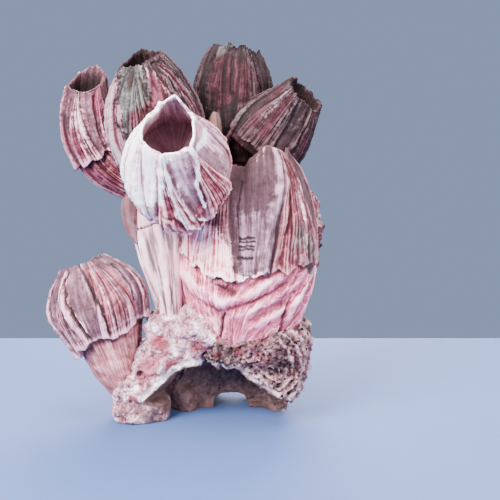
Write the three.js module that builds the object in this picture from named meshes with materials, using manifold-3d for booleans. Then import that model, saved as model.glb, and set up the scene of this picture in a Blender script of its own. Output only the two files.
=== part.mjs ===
// Cluster of large acorn barnacles, as it was broken off the rock: seven shells with open mouths,
// a long stem and a worn crust that they all grew from. Millimetres, +Z up, the viewer looks along +Y.
import * as THREE from "three";
import { mergeVertices } from "three/addons/utils/BufferGeometryUtils.js";
import Module from "manifold-3d";

const wasm = await Module();
wasm.setup();

// Sizes shared by every shell
const GAP = 0.6; // how far a neighbour is cut back from the coarse outline of a shell
const UNDERCUT = 2.5; // how far below a shell's ledge its neighbours are cut back
const RIB = 0.8; // height of a rib on a wall plate
const LIFT = 0.9; // how far a wall plate stands above the smooth strips beside it
const TAPER = 0.72; // share of its width that a plate loses between its foot and its tip
const WALL = 2.6; // thickness of a shell wall below the rim
const RIM_WALL = 1.0; // thickness of the rim
const TIP = 1.6; // how far a plate's tip stands above the mouth
const NOTCH = 1.2; // how far the rim dips between two tips
const CLOSED = -99; // an inset that draws a row together on the axis

// Each shell grows from its root to its mouth along a bent axis.
// girth: place along the axis, half width across the view, half width along it.
// plates: the direction that the plate faces, its half angle at the foot, its number of ribs,
// and how much lower its foot reaches than the ledge, as a share of the axis.
const SHELLS = {
  front_barnacle: {
    root: [-1, -10, 98],
    bend: [-2.5, -28, 109],
    mouth: [-3.4, -45, 120.5],
    front: [0, 0, -1],
    girth: [
      [0, 17.5, 17.5],
      [0.3, 18.6, 18.4],
      [0.6, 16, 16.5],
      [0.82, 12.2, 13],
      [1, 9, 10],
    ],
    plates: [
      [-82, 22, 2, 0],
      [-38, 20, 3, 0.02],
      [6, 17, 3, 0],
      [66, 27, 4, 0.05],
      [138, 27, 1, 0],
      [217, 30, 1, 0],
    ],
    ledge: 0.1,
    ledgeStep: 0.8,
    cupRibs: 0.3,
    tilt: [2.5, 178],
    floor: 0.3,
    color: 0xdcb4b6,
  },
  trunk_barnacle: {
    root: [23, 6, 33],
    bend: [24, 6, 70],
    mouth: [25, 1, 107],
    front: [0, -1, 0],
    girth: [
      [0, 20, 19],
      [0.18, 24.6, 23.5],
      [0.42, 26.8, 25.5],
      [0.65, 26.2, 24.5],
      [0.85, 21.5, 20],
      [1, 14.5, 13.5],
    ],
    plates: [
      [-78, 24, 2, -0.1],
      [-27, 19, 3, 0],
      [45, 32, 4, -0.03],
      [108, 22, 1, 0.02],
      [162, 24, 1, -0.03],
      [224, 24, 1, 0.03],
    ],
    ledge: 0.38,
    ledgeStep: 1.2,
    cupRibs: 0.25,
    tilt: [3.5, 175],
    floor: 0.45,
    color: 0xcf9c9f,
  },
  upper_middle_barnacle: {
    root: [-3, 4, 88],
    bend: [-13, -2, 121],
    mouth: [-16.5, -4, 143.5],
    front: [0, -1, 0],
    girth: [
      [0, 13, 12],
      [0.3, 17.3, 16],
      [0.55, 18.3, 17],
      [0.8, 14.8, 14],
      [1, 8.6, 8.4],
    ],
    plates: [
      [-70, 24, 2, 0],
      [-14, 22, 2, 0],
      [48, 30, 3, 0],
      [112, 24, 1, 0],
      [172, 24, 1, 0],
      [232, 24, 1, 0],
    ],
    ledge: 0.12,
    ledgeStep: 0.5,
    cupRibs: 0.6,
    tilt: [2.6, 165],
    floor: 0.35,
    color: 0xc9a5a3,
  },
  upper_right_barnacle: {
    root: [27, 15, 108],
    bend: [37, 14, 120],
    mouth: [45, 14, 131],
    front: [0, -1, 0],
    girth: [
      [0, 14.5, 13.5],
      [0.35, 15.2, 14.2],
      [0.7, 12.5, 12],
      [1, 9, 8.6],
    ],
    plates: [
      [-72, 20, 2, 0],
      [-14, 30, 3, 0],
      [58, 30, 3, 0],
      [120, 22, 1, 0],
      [172, 22, 1, 0],
      [228, 22, 1, 0],
    ],
    ledge: 0.08,
    ledgeStep: 0.6,
    cupRibs: 0.4,
    tilt: [2, 170],
    floor: 0.3,
    color: 0xb98f90,
  },
  upper_back_barnacle: {
    root: [18, 24, 104],
    bend: [17.5, 24, 130],
    mouth: [19.5, 27, 149],
    front: [0, -1, 0],
    girth: [
      [0, 12.5, 12],
      [0.3, 15.4, 14],
      [0.62, 15.4, 14],
      [0.85, 12.2, 11.5],
      [1, 8.8, 8.4],
    ],
    plates: [
      [-74, 22, 2, 0],
      [-30, 18, 2, 0],
      [26, 24, 3, 0],
      [84, 22, 2, 0],
      [150, 26, 1, 0],
      [218, 26, 1, 0],
    ],
    ledge: 0.2,
    ledgeStep: 0.6,
    cupRibs: 0.4,
    tilt: [1, 200],
    floor: 0.35,
    color: 0xb08a8a,
  },
  upper_left_barnacle: {
    root: [-19.6, 8, 95.5],
    bend: [-43, 5, 108],
    mouth: [-38.4, 3, 136.5],
    front: [0, -1, 0],
    girth: [
      [0, 7.5, 8],
      [0.3, 9.6, 10.5],
      [0.55, 10.2, 11],
      [0.8, 9.4, 10],
      [1, 7.2, 7.2],
    ],
    plates: [
      [-75, 20, 2, 0],
      [-18, 26, 3, 0],
      [44, 24, 3, 0],
      [104, 22, 1, 0],
      [164, 22, 1, 0],
      [224, 24, 1, 0],
    ],
    ledge: 0.42,
    ledgeStep: 1,
    cupRibs: 1,
    tilt: [3, 150],
    floor: 0.5,
    color: 0xbb9493,
  },
  lower_left_barnacle: {
    root: [-24, 5, 6],
    bend: [-34.5, 3, 40],
    mouth: [-42.5, 5, 63],
    front: [0, -1, 0],
    girth: [
      [0, 5, 6],
      [0.2, 10, 10.5],
      [0.4, 13.2, 13.5],
      [0.68, 19.4, 18],
      [0.86, 17, 16],
      [1, 10.5, 11],
    ],
    plates: [
      [-74, 20, 2, 0.05],
      [-32, 16, 3, 0],
      [28, 26, 3, 0.02],
      [92, 26, 2, -0.05],
      [158, 26, 1, 0],
      [224, 24, 1, 0.03],
    ],
    ledge: 0.42,
    ledgeStep: 1.8,
    cupRibs: 0,
    tilt: [0.6, 20],
    floor: 0.5,
    color: 0xc4a09f,
  },
};

// The stem, the foot and two broken plates are closed shells without a mouth.
const STEMS = {
  side_flake: {
    root: [-20.6, -2, 73],
    bend: [-24.2, -3, 83],
    mouth: [-23, -2, 91],
    front: [0, -1, 0],
    girth: [
      [0, 1, 1],
      [0.25, 3, 1.8],
      [0.7, 3.3, 1.9],
      [1, 2, 1.2],
    ],
    flutes: 4,
    flute: 0.15,
    color: 0xc39a94,
  },
  beak_plate: {
    root: [10.9, 1, 112],
    bend: [10.6, 1.5, 118],
    mouth: [11.2, 3, 124.2],
    front: [0, -1, 0],
    girth: [
      [0, 3.6, 2.2],
      [0.5, 3, 1.8],
      [1, 1.1, 0.9],
    ],
    flutes: 4,
    flute: 0,
    color: 0x96705f,
  },
  pale_stem: {
    root: [-9, 6, 32],
    bend: [-12.5, 4, 62],
    mouth: [-13, 5, 92],
    front: [0, -1, 0],
    girth: [
      [0, 10.5, 12],
      [0.3, 8.6, 12],
      [0.6, 8.8, 12],
      [0.85, 9.6, 12],
      [1, 9, 11],
    ],
    flutes: 7,
    flute: 0.6,
    color: 0xd6c8bd,
  },
  left_foot: {
    root: [-20.5, 1, -3],
    bend: [-17, 0, 20],
    mouth: [-1, 0, 45],
    front: [0, -1, 0],
    girth: [
      [0, 11.5, 9],
      [0.3, 10.6, 9.5],
      [0.6, 11, 10],
      [0.85, 13, 10],
      [1, 11, 8],
    ],
    flutes: 6,
    flute: 0.9,
    hollowed: true,
    color: 0xd3c4bd,
  },
};

// Lumps of crust: middle, half sizes, detail of the facets
const CRUST_LUMPS = [
  [[29, 7, 18], [20, 19, 20], 3],
  [[30, -3, 32], [19.5, 15, 9], 2],
  [[8, 21, 12], [22, 15, 20], 3],
];
const BACK_LUMPS = [[[36, 24, 73], [19.5, 13, 23], 3]];
const BUMP = 0.9; // height of the knobs on a lump
const BOXY = 2.8; // 2 makes a lump an ellipsoid, more makes it squarer

// The hollow under the cluster, and the notch in the foot of its back wall
const HOLLOWS = [
  [[11, -14, 0], [27, 25, 25], 3],
  [[17, 8, 0], [6.5, 14, 5.5], 1],
];

const ROWS_BELOW = [0, 0.55, 1];
const LOW_CUP = 0.25; // a cup shorter than this has no row between its root and its ledge
const ROWS_ABOVE = [0, 0.35, 0.7, 1];
const STEM_ROWS = [0, 0.25, 0.5, 0.75, 1];

// A smooth value between the rows of a table whose first column is the place along the axis
function read(table, column, s) {
  const place = THREE.MathUtils.clamp(s, table[0][0], table.at(-1)[0]);
  const i = Math.max(
    0,
    Math.min(table.length - 2, table.findIndex((row) => row[0] >= place) - 1),
  );
  const slope = (k) => {
    const before = table[Math.max(0, k - 1)];
    const after = table[Math.min(table.length - 1, k + 1)];
    return (after[column] - before[column]) / (after[0] - before[0]);
  };
  const span = table[i + 1][0] - table[i][0];
  const u = (place - table[i][0]) / span;
  const start = table[i][column];
  const end = table[i + 1][column];
  const ease = u * u * (3 - 2 * u);
  const lean =
    span * u * (1 - u) * (slope(i) * (1 - u) - slope(i + 1) * u);
  return start + (end - start) * ease + lean;
}

// The place on a shell's axis, with the directions to its side, to its front and along it
function axisFrame(shell, s) {
  shell.axis ??= new THREE.QuadraticBezierCurve3(
    new THREE.Vector3(...shell.root),
    new THREE.Vector3(...shell.bend),
    new THREE.Vector3(...shell.mouth),
  );
  const along = shell.axis.getTangent(s);
  const front = new THREE.Vector3(...shell.front);
  front.addScaledVector(along, -front.dot(along)).normalize();
  const side = new THREE.Vector3().crossVectors(along, front);
  return { middle: shell.axis.getPoint(s), side, front, along };
}

// The point of a shell at one angle and place, moved out from the skin and up along the axis
function skinPoint(shell, s, angle, out, up) {
  const { middle, side, front, along } = axisFrame(shell, s);
  const across = Math.max(0, read(shell.girth, 1, s) + out);
  const deep = Math.max(0, read(shell.girth, 2, s) + out);
  return middle
    .addScaledVector(side, across * Math.sin(angle))
    .addScaledVector(front, deep * Math.cos(angle))
    .addScaledVector(along, up);
}

// Lines that run from foot to rim: each rib's crest and the grooves beside it, then the smooth strip.
// A coarse set follows the tops of the ribs.
function linesAround(shell, coarse) {
  const lines = [];
  shell.plates.forEach(([, , ribs], k) => {
    const steps = coarse ? 3 : 2 * ribs;
    for (let i = 0; i <= steps; i++)
      lines.push({
        k,
        across: (2 * i) / steps - 1,
        crest: coarse ? 1 : i % 2,
        raised: 1,
        coarse,
      });
    for (const over of [0.12, 0.88])
      lines.push({ k, over, crest: 0, raised: 0, coarse });
  });
  return lines;
}

// A value that a plate has, or a blend of its two neighbours' values on the strip between them
function ofPlate(shell, line, valueOf) {
  const here = valueOf(shell.plates[line.k], 1, 0);
  if (line.raised) return here;
  const last = line.k === shell.plates.length - 1;
  const next = valueOf(shell.plates[last ? 0 : line.k + 1], -1, last ? 360 : 0);
  return here + (next - here) * line.over;
}

// The angle of a line. Plates narrow as they climb from the ledge to the mouth.
function lineAngle(shell, line, climb) {
  const narrow = 1 - TAPER * climb ** 1.2;
  const degrees = ofPlate(shell, line, ([facing, half], edge, turn) =>
    facing + turn + half * narrow * (line.raised ? line.across : edge));
  return THREE.MathUtils.degToRad(degrees);
}

// How far the rim stands above the mouth plane on a line
function rimRise(shell, line, angle) {
  const [height, towards] = shell.tilt;
  const lean = height * Math.cos(angle - THREE.MathUtils.degToRad(towards));
  if (line.coarse) return lean + TIP;
  const tooth = line.raised
    ? TIP * (1 - Math.abs(line.across))
    : -NOTCH * Math.sin(Math.PI * line.over);
  return lean + tooth;
}

// The rows of a shell from the root up the outside, over the rim and down the inside
function rowsOf(shell, grow) {
  const rows = [{ place: 0, closed: true }];
  for (const share of ROWS_BELOW.filter((row) => row % 1 === 0 || shell.ledge > LOW_CUP))
    rows.push({ share, climb: 0, out: grow, relief: shell.cupRibs });
  for (const climb of ROWS_ABOVE)
    rows.push({
      share: 1,
      climb,
      out: grow + shell.ledgeStep * (1 - climb),
      up: climb || !grow ? 0 : -UNDERCUT,
      relief: 1,
      plated: 1,
    });
  if (grow) rows.push({ place: 1, closed: true, up: grow + TIP + shell.tilt[0] });
  else
    rows.push(
      { place: 1, climb: 1, out: -RIM_WALL, relief: 0.2 },
      { place: 0.84, climb: 1, out: -WALL, relief: 0 },
      { place: shell.floor, climb: 1, out: -1.6 * WALL, relief: 0 },
      { place: shell.floor, closed: true },
    );
  return rows;
}

// A closed grid of lines and rows, rounded like a lathe-turned cup and then bent onto its axis
function gridGeometry(lineCount, rows, place) {
  const profile = rows.map(
    (row, j) => new THREE.Vector2(row.closed ? 0 : 1, j),
  );
  const geometry = new THREE.LatheGeometry(profile, lineCount);
  const position = geometry.attributes.position;
  for (let i = 0; i <= lineCount; i++)
    rows.forEach((row, j) => {
      const point = place(i % lineCount, row);
      position.setXYZ(i * rows.length + j, point.x, point.y, point.z);
    });
  return geometry;
}

function shellGeometry(shell, grow = 0) {
  const lines = linesAround(shell, grow > 0);
  return gridGeometry(lines.length, rowsOf(shell, grow), (i, row) => {
    if (row.closed) return skinPoint(shell, row.place, 0, CLOSED, row.up ?? 0);
    const line = lines[i];
    const ledge = shell.ledge - ofPlate(shell, line, (plate) => plate[3]);
    const s = row.place ?? ledge * row.share + (1 - ledge) * row.climb;
    const angle = lineAngle(shell, line, row.climb);
    const ribs = RIB * line.crest * row.relief;
    const plate = row.plated && (line.raised || line.coarse) ? LIFT : 0;
    const rise = rimRise(shell, line, angle) * THREE.MathUtils.smoothstep(s, 0.4, 1);
    return skinPoint(shell, s, angle, row.out + ribs + plate, rise + (row.up ?? 0));
  });
}

function stemGeometry(stem, grow = 0) {
  const rows = [
    { s: 0, closed: true, up: -grow },
    ...STEM_ROWS.map((s) => ({ s, out: grow })),
    { s: 1, closed: true, up: grow },
  ];
  const lineCount = 2 * stem.flutes;
  return gridGeometry(lineCount, rows, (i, row) => {
    if (row.closed) return skinPoint(stem, row.s, 0, CLOSED, row.up);
    const flute = i % 2 ? stem.flute : 0;
    return skinPoint(stem, row.s, (2 * Math.PI * i) / lineCount, row.out + flute, 0);
  });
}

// A rounded lump with a knobbly skin
function lumpGeometry([middle, size, detail], bump, grow = 0) {
  const geometry = new THREE.IcosahedronGeometry(1, detail);
  const position = geometry.attributes.position;
  const point = new THREE.Vector3();
  for (let i = 0; i < position.count; i++) {
    point.fromBufferAttribute(position, i).normalize();
    const round = Math.abs(point.x) ** BOXY + Math.abs(point.y) ** BOXY + Math.abs(point.z) ** BOXY;
    point.divideScalar(round ** (1 / BOXY));
    const knob =
      Math.sin(7 * point.x + 1.3) * Math.sin(6 * point.y + 0.4) +
      Math.sin(11 * point.z + 5 * point.x) * 0.6;
    point.set(
      middle[0] + point.x * (size[0] + grow + bump * knob),
      middle[1] + point.y * (size[1] + grow + bump * knob),
      middle[2] + point.z * (size[2] + grow + bump * knob),
    );
    position.setXYZ(i, point.x, point.y, point.z);
  }
  return geometry;
}

function solidOf(geometry) {
  geometry.deleteAttribute("normal");
  geometry.deleteAttribute("uv");
  const merged = mergeVertices(geometry, 1e-3);
  const index = merged.index.array;
  const triVerts = [];
  for (let i = 0; i < index.length; i += 3) {
    const [a, b, c] = index.slice(i, i + 3);
    if (a !== b && b !== c && c !== a) triVerts.push(a, b, c);
  }
  return new wasm.Manifold(
    new wasm.Mesh({
      numProp: 3,
      vertProperties: merged.attributes.position.array,
      triVerts: new Uint32Array(triVerts),
    }),
  );
}

// The largest body that is left of a solid, without the crumbs that a cut leaves
function largest(solid) {
  return solid.decompose().sort((a, b) => b.volume() - a.volume())[0];
}

function meshOf(name, solid, color) {
  const { vertProperties, triVerts } = solid.getMesh();
  const geometry = new THREE.BufferGeometry();
  geometry.setAttribute(
    "position",
    new THREE.BufferAttribute(vertProperties, 3),
  );
  geometry.setIndex(new THREE.BufferAttribute(triVerts, 1));
  geometry.computeVertexNormals();
  const material = new THREE.MeshStandardMaterial({
    color,
    roughness: 0.85,
    metalness: 0,
  });
  const mesh = new THREE.Mesh(geometry, material);
  mesh.name = name;
  return mesh;
}

function join(lumps, bump, grow) {
  return lumps
    .map((lump) => solidOf(lumpGeometry(lump, bump, grow)))
    .reduce((all, next) => all.add(next));
}

// Every piece in the order in which neighbours give way to each other: the first is never cut
const pieces = [];
for (const [name, shell] of Object.entries(SHELLS))
  pieces.push({
    name,
    color: shell.color,
    solid: solidOf(shellGeometry(shell)),
    cutter: solidOf(shellGeometry(shell, GAP)),
  });
for (const [name, stem] of Object.entries(STEMS))
  pieces.push({
    name,
    color: stem.color,
    hollowed: stem.hollowed,
    solid: solidOf(stemGeometry(stem)),
    cutter: solidOf(stemGeometry(stem, GAP)),
  });
const LUMPED = {
  base_crust: [CRUST_LUMPS, 0xa08785],
  back_crust: [BACK_LUMPS, 0xa99490],
};
for (const [name, [lumps, color]] of Object.entries(LUMPED))
  pieces.push({
    name,
    color,
    hollowed: true,
    solid: join(lumps, BUMP, 0),
    cutter: join(lumps, BUMP, GAP),
  });

const belowGround = solidOf(
  new THREE.BoxGeometry(400, 400, 100).translate(0, 0, -50),
);
const hollow = join(HOLLOWS, 0, 0);

const cluster = new THREE.Group();
pieces.forEach((piece, rank) => {
  let solid = piece.solid;
  for (const stronger of pieces.slice(0, rank))
    solid = solid.subtract(stronger.cutter);
  if (piece.hollowed) solid = solid.subtract(hollow);
  solid = largest(solid.subtract(belowGround));
  cluster.add(meshOf(piece.name, solid, piece.color));
});
const middle = new THREE.Box3().setFromObject(cluster).getCenter(new THREE.Vector3());
cluster.position.set(-middle.x, -middle.y, 0);

export default cluster;
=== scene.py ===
# A cluster of giant acorn barnacles that was broken off its rock and dried. Seven ribbed shells,
# an old column and a foot stand on a porous crust. Sizes are millimetres until a mesh is made.
import math
from types import SimpleNamespace

import bpy
import numpy as np
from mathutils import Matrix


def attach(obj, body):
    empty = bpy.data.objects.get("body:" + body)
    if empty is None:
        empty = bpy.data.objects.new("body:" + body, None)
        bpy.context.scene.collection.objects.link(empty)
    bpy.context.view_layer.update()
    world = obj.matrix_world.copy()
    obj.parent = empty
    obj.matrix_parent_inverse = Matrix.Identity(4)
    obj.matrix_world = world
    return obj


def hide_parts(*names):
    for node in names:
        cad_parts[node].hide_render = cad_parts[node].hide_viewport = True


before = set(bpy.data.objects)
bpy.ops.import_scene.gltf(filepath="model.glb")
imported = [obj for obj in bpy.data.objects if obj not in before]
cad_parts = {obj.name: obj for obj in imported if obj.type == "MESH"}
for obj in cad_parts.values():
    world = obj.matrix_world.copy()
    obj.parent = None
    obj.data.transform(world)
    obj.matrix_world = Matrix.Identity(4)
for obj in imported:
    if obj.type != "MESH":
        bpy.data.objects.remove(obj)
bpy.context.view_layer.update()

# The table and the light
# The cluster stands near the far edge of a pale table, and the grey-blue air of a room is behind it.
# Soft daylight comes from a window at the upper left, and the room gives a little of it back.
MM = 0.001
FOOTPRINT_MIDDLE = np.array([-1.203, -5.39, 0.0])
LOOK_AT = np.array([25.0, 0.0, 70.0])
CAMERA_DISTANCE = 400.0
CAMERA_PITCH = math.radians(9.0)
CAMERA_LENS = 72.0
CAMERA_FILM = 36.0
NEAREST_SEEN = 0.01
TABLE_HALF = 900.0
TABLE_BEHIND = 135.0
TABLE_COLOUR = (0.050, 0.095, 0.25, 1.0)
TABLE_DARKER = (0.047, 0.0893, 0.235, 1.0)
AIR_COLOUR = (0.262, 0.335, 0.530, 1.0)


def placed(points):
    """Points in metres about the middle of the footprint, from the maker's own millimetres."""
    return (np.asarray(points, float) - FOOTPRINT_MIDDLE) * MM


camera_data = bpy.data.cameras.new("photo_camera")
camera_data.lens = CAMERA_LENS
camera_data.sensor_width = CAMERA_FILM
camera_data.clip_start = NEAREST_SEEN
camera = bpy.data.objects.new("photo_camera", camera_data)
bpy.context.scene.collection.objects.link(camera)
look = np.array([0.0, math.cos(CAMERA_PITCH), -math.sin(CAMERA_PITCH)])
camera.location = placed(LOOK_AT - look * CAMERA_DISTANCE)
camera.rotation_euler = (math.pi / 2 - CAMERA_PITCH, 0.0, 0.0)
bpy.context.scene.camera = camera


class Paint:
    """A socket of a node tree that takes part in Python arithmetic."""

    def __init__(self, tree, socket=None):
        self.tree = tree
        self.socket = socket

    def node(self, kind, settings=None, inputs=None, output=0):
        """A new node of any kind: its settings, then the values or links of its sockets."""
        made = self.tree.nodes.new(kind)
        for name, value in (settings or {}).items():
            if name == "stops":
                for k, (place, colour) in enumerate(value):
                    ramp = made.color_ramp.elements
                    stop = ramp[k] if k < 2 else ramp.new(place)
                    stop.position = place
                    stop.color = colour
            else:
                setattr(made, name, value)
        for name, value in (inputs or {}).items():
            if isinstance(value, Paint):
                self.tree.links.new(value.socket, made.inputs[name])
            else:
                made.inputs[name].default_value = value
        return Paint(self.tree, made.outputs[output])

    def math(self, operation, first, second=0.0):
        """A Math node on one or two values."""
        return self.node("ShaderNodeMath", {"operation": operation}, {0: first, 1: second})

    def __add__(self, other):
        return self.math("ADD", self, other)

    def __sub__(self, other):
        return self.math("SUBTRACT", self, other)

    def __mul__(self, other):
        return self.math("MULTIPLY", self, other)

    def __radd__(self, other):
        return self.math("ADD", other, self)

    def __rsub__(self, other):
        return self.math("SUBTRACT", other, self)

    def __rmul__(self, other):
        return self.math("MULTIPLY", other, self)

    def clamp(self):
        return self.node("ShaderNodeClamp", None, {"Value": self})

    def between(self, low, high):
        """0 below low, 1 above high, smooth in between."""
        settings = {"interpolation_type": "SMOOTHSTEP"}
        inputs = {"Value": self, "From Min": low, "From Max": high}
        return self.node("ShaderNodeMapRange", settings, inputs)

    def mix(self, first, second):
        """A colour between two, with this socket as the share of the second."""
        sockets = {0: self, 6: first, 7: second}
        return self.node("ShaderNodeMix", {"data_type": "RGBA"}, sockets, 2)

    def attribute(self, name, output="Fac"):
        """What the mesh says of each point under a name."""
        return self.node("ShaderNodeAttribute", {"attribute_name": name}, None, output)

    def noise(self, vector, scale, detail=3.0, roughness=0.55, distortion=0.0):
        """A noise value of about 0.5, with its size given as bumps to a unit."""
        inputs = {"Vector": vector, "Scale": scale, "Detail": detail}
        inputs.update({"Roughness": roughness, "Distortion": distortion})
        return self.node("ShaderNodeTexNoise", None, inputs)

    def stretched(self, vector, scale):
        """A vector that is squeezed or stretched along each axis."""
        settings = {"operation": "MULTIPLY"}
        return self.node("ShaderNodeVectorMath", settings, {0: vector, 1: scale})


def new_paint(name):
    """An empty material, its shader and a Paint to start expressions from."""
    material = bpy.data.materials.new(name)
    material.use_nodes = True
    tree = material.node_tree
    shader = tree.nodes["Principled BSDF"]
    return material, shader, Paint(tree)


def feed(paint, shader, colour, roughness, height, bump_distance):
    """Link the colour, the roughness and the bump of a finish."""
    tree = paint.tree
    bump = tree.nodes.new("ShaderNodeBump")
    bump.inputs["Distance"].default_value = bump_distance * MM
    tree.links.new(height.socket, bump.inputs["Height"])
    tree.links.new(bump.outputs["Normal"], shader.inputs["Normal"])
    tree.links.new(colour.socket, shader.inputs["Base Color"])
    tree.links.new(roughness.socket, shader.inputs["Roughness"])


TABLE_CORNERS = [
    (-TABLE_HALF, -TABLE_HALF, 0),
    (TABLE_HALF, -TABLE_HALF, 0),
    (TABLE_HALF, TABLE_BEHIND, 0),
    (-TABLE_HALF, TABLE_BEHIND, 0),
]
table_mesh = bpy.data.meshes.new("table")
table_mesh.from_pydata([tuple(c) for c in placed(TABLE_CORNERS)], [], [(0, 1, 2, 3)])
table = bpy.data.objects.new("table", table_mesh)
bpy.context.scene.collection.objects.link(table)
table_finish, table_shader, paint = new_paint("table_finish")
grain = paint.noise(paint.node("ShaderNodeTexCoord", None, None, "Object"), 60.0, 4.0)
table_tone = grain.mix(TABLE_DARKER, TABLE_COLOUR)
feed(paint, table_shader, table_tone, 0.8 + grain * 0.1, grain, 0.1)
table_mesh.materials.append(table_finish)


def soft_lamp(name, place, aim, size, power, colour):
    """A square of soft light at a place, turned to an aim."""
    data = bpy.data.lights.new(name, "AREA")
    data.size = size * MM
    data.energy = power
    data.color = colour
    lamp = bpy.data.objects.new(name, data)
    bpy.context.scene.collection.objects.link(lamp)
    lamp.location = placed(place)
    way = placed(place) - placed(aim)
    flat = math.hypot(way[0], way[1])
    turn = math.atan2(way[1], way[0]) + math.pi / 2
    lamp.rotation_euler = (math.atan2(flat, way[2]), 0.0, turn)


soft_lamp("window", (-330, -420, 430), (0, 0, 80), 330, 23.0, (1.0, 0.95, 0.93))
soft_lamp("ceiling", (60, -40, 620), (10, 0, 60), 500, 11.5, (1.0, 0.92, 0.89))
soft_lamp("room", (420, -380, 160), (20, 0, 70), 420, 6.5, (1.0, 0.92, 0.88))
soft_lamp("far_window", (60, 480, 300), (0, 0, 80), 400, 13.0, (1.0, 0.95, 0.95))
world = bpy.data.worlds.new("room_air")
world.use_nodes = True
world.node_tree.nodes["Background"].inputs["Color"].default_value = AIR_COLOUR
bpy.context.scene.world = world

# The trunk barnacle
# The largest shell is a cone of six thick chalky wall plates, ribbed from the foot to the mouth, with
# smooth lilac strips between them. It grew upwards in layers, so a ragged ledge of old plates hangs
# over its smoother, pinker cup. It is cemented to the crust by its own base.
RIB = 0.95
PLATE_LIFT = 0.8
PLATE_TAPER = 0.72
WALL = 2.6
RIM_WALL = 0.9
RIB_SPACING = 2.0
LINE_SPACING = 0.33
ROW_SPACING = 0.46
FEWEST_CUP_ROWS = 5
CUP_STRETCH = 1.2
RIM_STEPS = (0.15, 0.5, 0.85, 1.0)
INNER_ROWS = 26
BASE_ROWS = 8
FLOOR_DISH = 0.03
LEDGE_LIP = 1.1
HALTS_PER_MM = 0.21
NARROWEST = 0.2


def smooth(low, high, value):
    """0 below low, 1 above high, smooth in between."""
    t = np.clip((value - low) / (high - low), 0.0, 1.0)
    return t * t * (3.0 - 2.0 * t)


def bumps(points, seed):
    """Smooth noise from -1 to 1, about one bump to a unit."""
    cell = np.floor(points).astype(np.int64)
    part = points - cell
    part = part * part * (3.0 - 2.0 * part)
    total = np.zeros(points.shape[:-1])
    for corner in np.ndindex(2, 2, 2):
        key = cell + corner
        code = key[..., 0] * 73856093 ^ key[..., 1] * 19349663 ^ key[..., 2] * 83492791
        code = (code ^ seed * 2654435761) & 0xFFFFFFFF
        code = ((code ^ code >> 15) * 2246822519) & 0xFFFFFFFF
        code = ((code ^ code >> 13) * 3266489917) & 0xFFFFFFFF
        value = ((code ^ code >> 16) & 0xFFFFFF) / 0x7FFFFF - 1.0
        share = np.where(corner, part, 1.0 - part).prod(-1)
        total += value * share
    return total


def rough(points, seed, octaves=4, gain=0.5):
    """Noise of several sizes on each other."""
    total = np.zeros(points.shape[:-1])
    height = 1.0
    for octave in range(octaves):
        total += height * bumps(points * 2.0**octave, seed + octave)
        height *= gain
    return total


def read_column(table, column, place):
    """A smooth value between the rows of a table whose first column is the place."""
    rows = np.array(table, float)
    at, value = rows[:, 0], rows[:, column]
    before = np.maximum(np.arange(len(at)) - 1, 0)
    after = np.minimum(np.arange(len(at)) + 1, len(at) - 1)
    slope = (value[after] - value[before]) / (at[after] - at[before])
    place = np.clip(place, at[0], at[-1])
    i = np.clip(np.searchsorted(at, place) - 1, 0, len(at) - 2)
    span = at[i + 1] - at[i]
    u = (place - at[i]) / span
    ease = u * u * (3.0 - 2.0 * u)
    lean = span * u * (1.0 - u) * (slope[i] * (1.0 - u) - slope[i + 1] * u)
    return value[i] + (value[i + 1] - value[i]) * ease + lean


def unit(vectors):
    """The same directions with a length of 1."""
    return vectors / np.linalg.norm(vectors, axis=-1, keepdims=True)


def on_axis(shell, s):
    """Middle, side, front and along at places s of a shell's bent axis."""
    root, bend, mouth = (np.array(shell[k], float) for k in ("root", "bend", "mouth"))
    s = s[..., None]
    middle = (1 - s) ** 2 * root + 2 * s * (1 - s) * bend + s * s * mouth
    along = unit((1 - s) * (bend - root) + s * (mouth - bend))
    front = np.array(shell["front"], float)
    front = unit(front - along * (along @ front)[..., None])
    return middle, np.cross(along, front), front, along


def lines_round(plates, taper, girth):
    """For each line from foot to mouth: its plate, whether it is raised, its place across."""
    index, raised, across = [], [], []
    for k, (facing, half) in enumerate(plates):
        following = plates[(k + 1) % len(plates)]
        gap = (following[0] - following[1] - facing - half) % 360
        wide = 2 * half * (1 - taper / 2)
        narrow = gap + (half + following[1]) * taper / 2
        for is_plate, degrees in ((True, wide), (False, narrow)):
            count = max(6, round(math.radians(degrees) * girth / LINE_SPACING))
            index += [k] * count
            raised += [is_plate] * count
            across += list(np.arange(count) / count)
    return np.array(index), np.array(raised), np.array(across)


def rounded(knots):
    """The knots of a stroke with smooth curves between them."""
    knots = np.array(knots, float)
    if len(knots) < 3:
        return knots
    place = np.linspace(0, len(knots) - 1, 4 * len(knots) - 3)
    table = np.column_stack([np.arange(len(knots)), knots])
    return np.stack([read_column(table, 1, place), read_column(table, 2, place)], -1)


def round_foot(angle, girth, height):
    """Points on an upright cylinder, which the noise on a piece is read from."""
    return np.stack([np.cos(angle) * girth, np.sin(angle) * girth, height + 0 * angle], -1)


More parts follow.
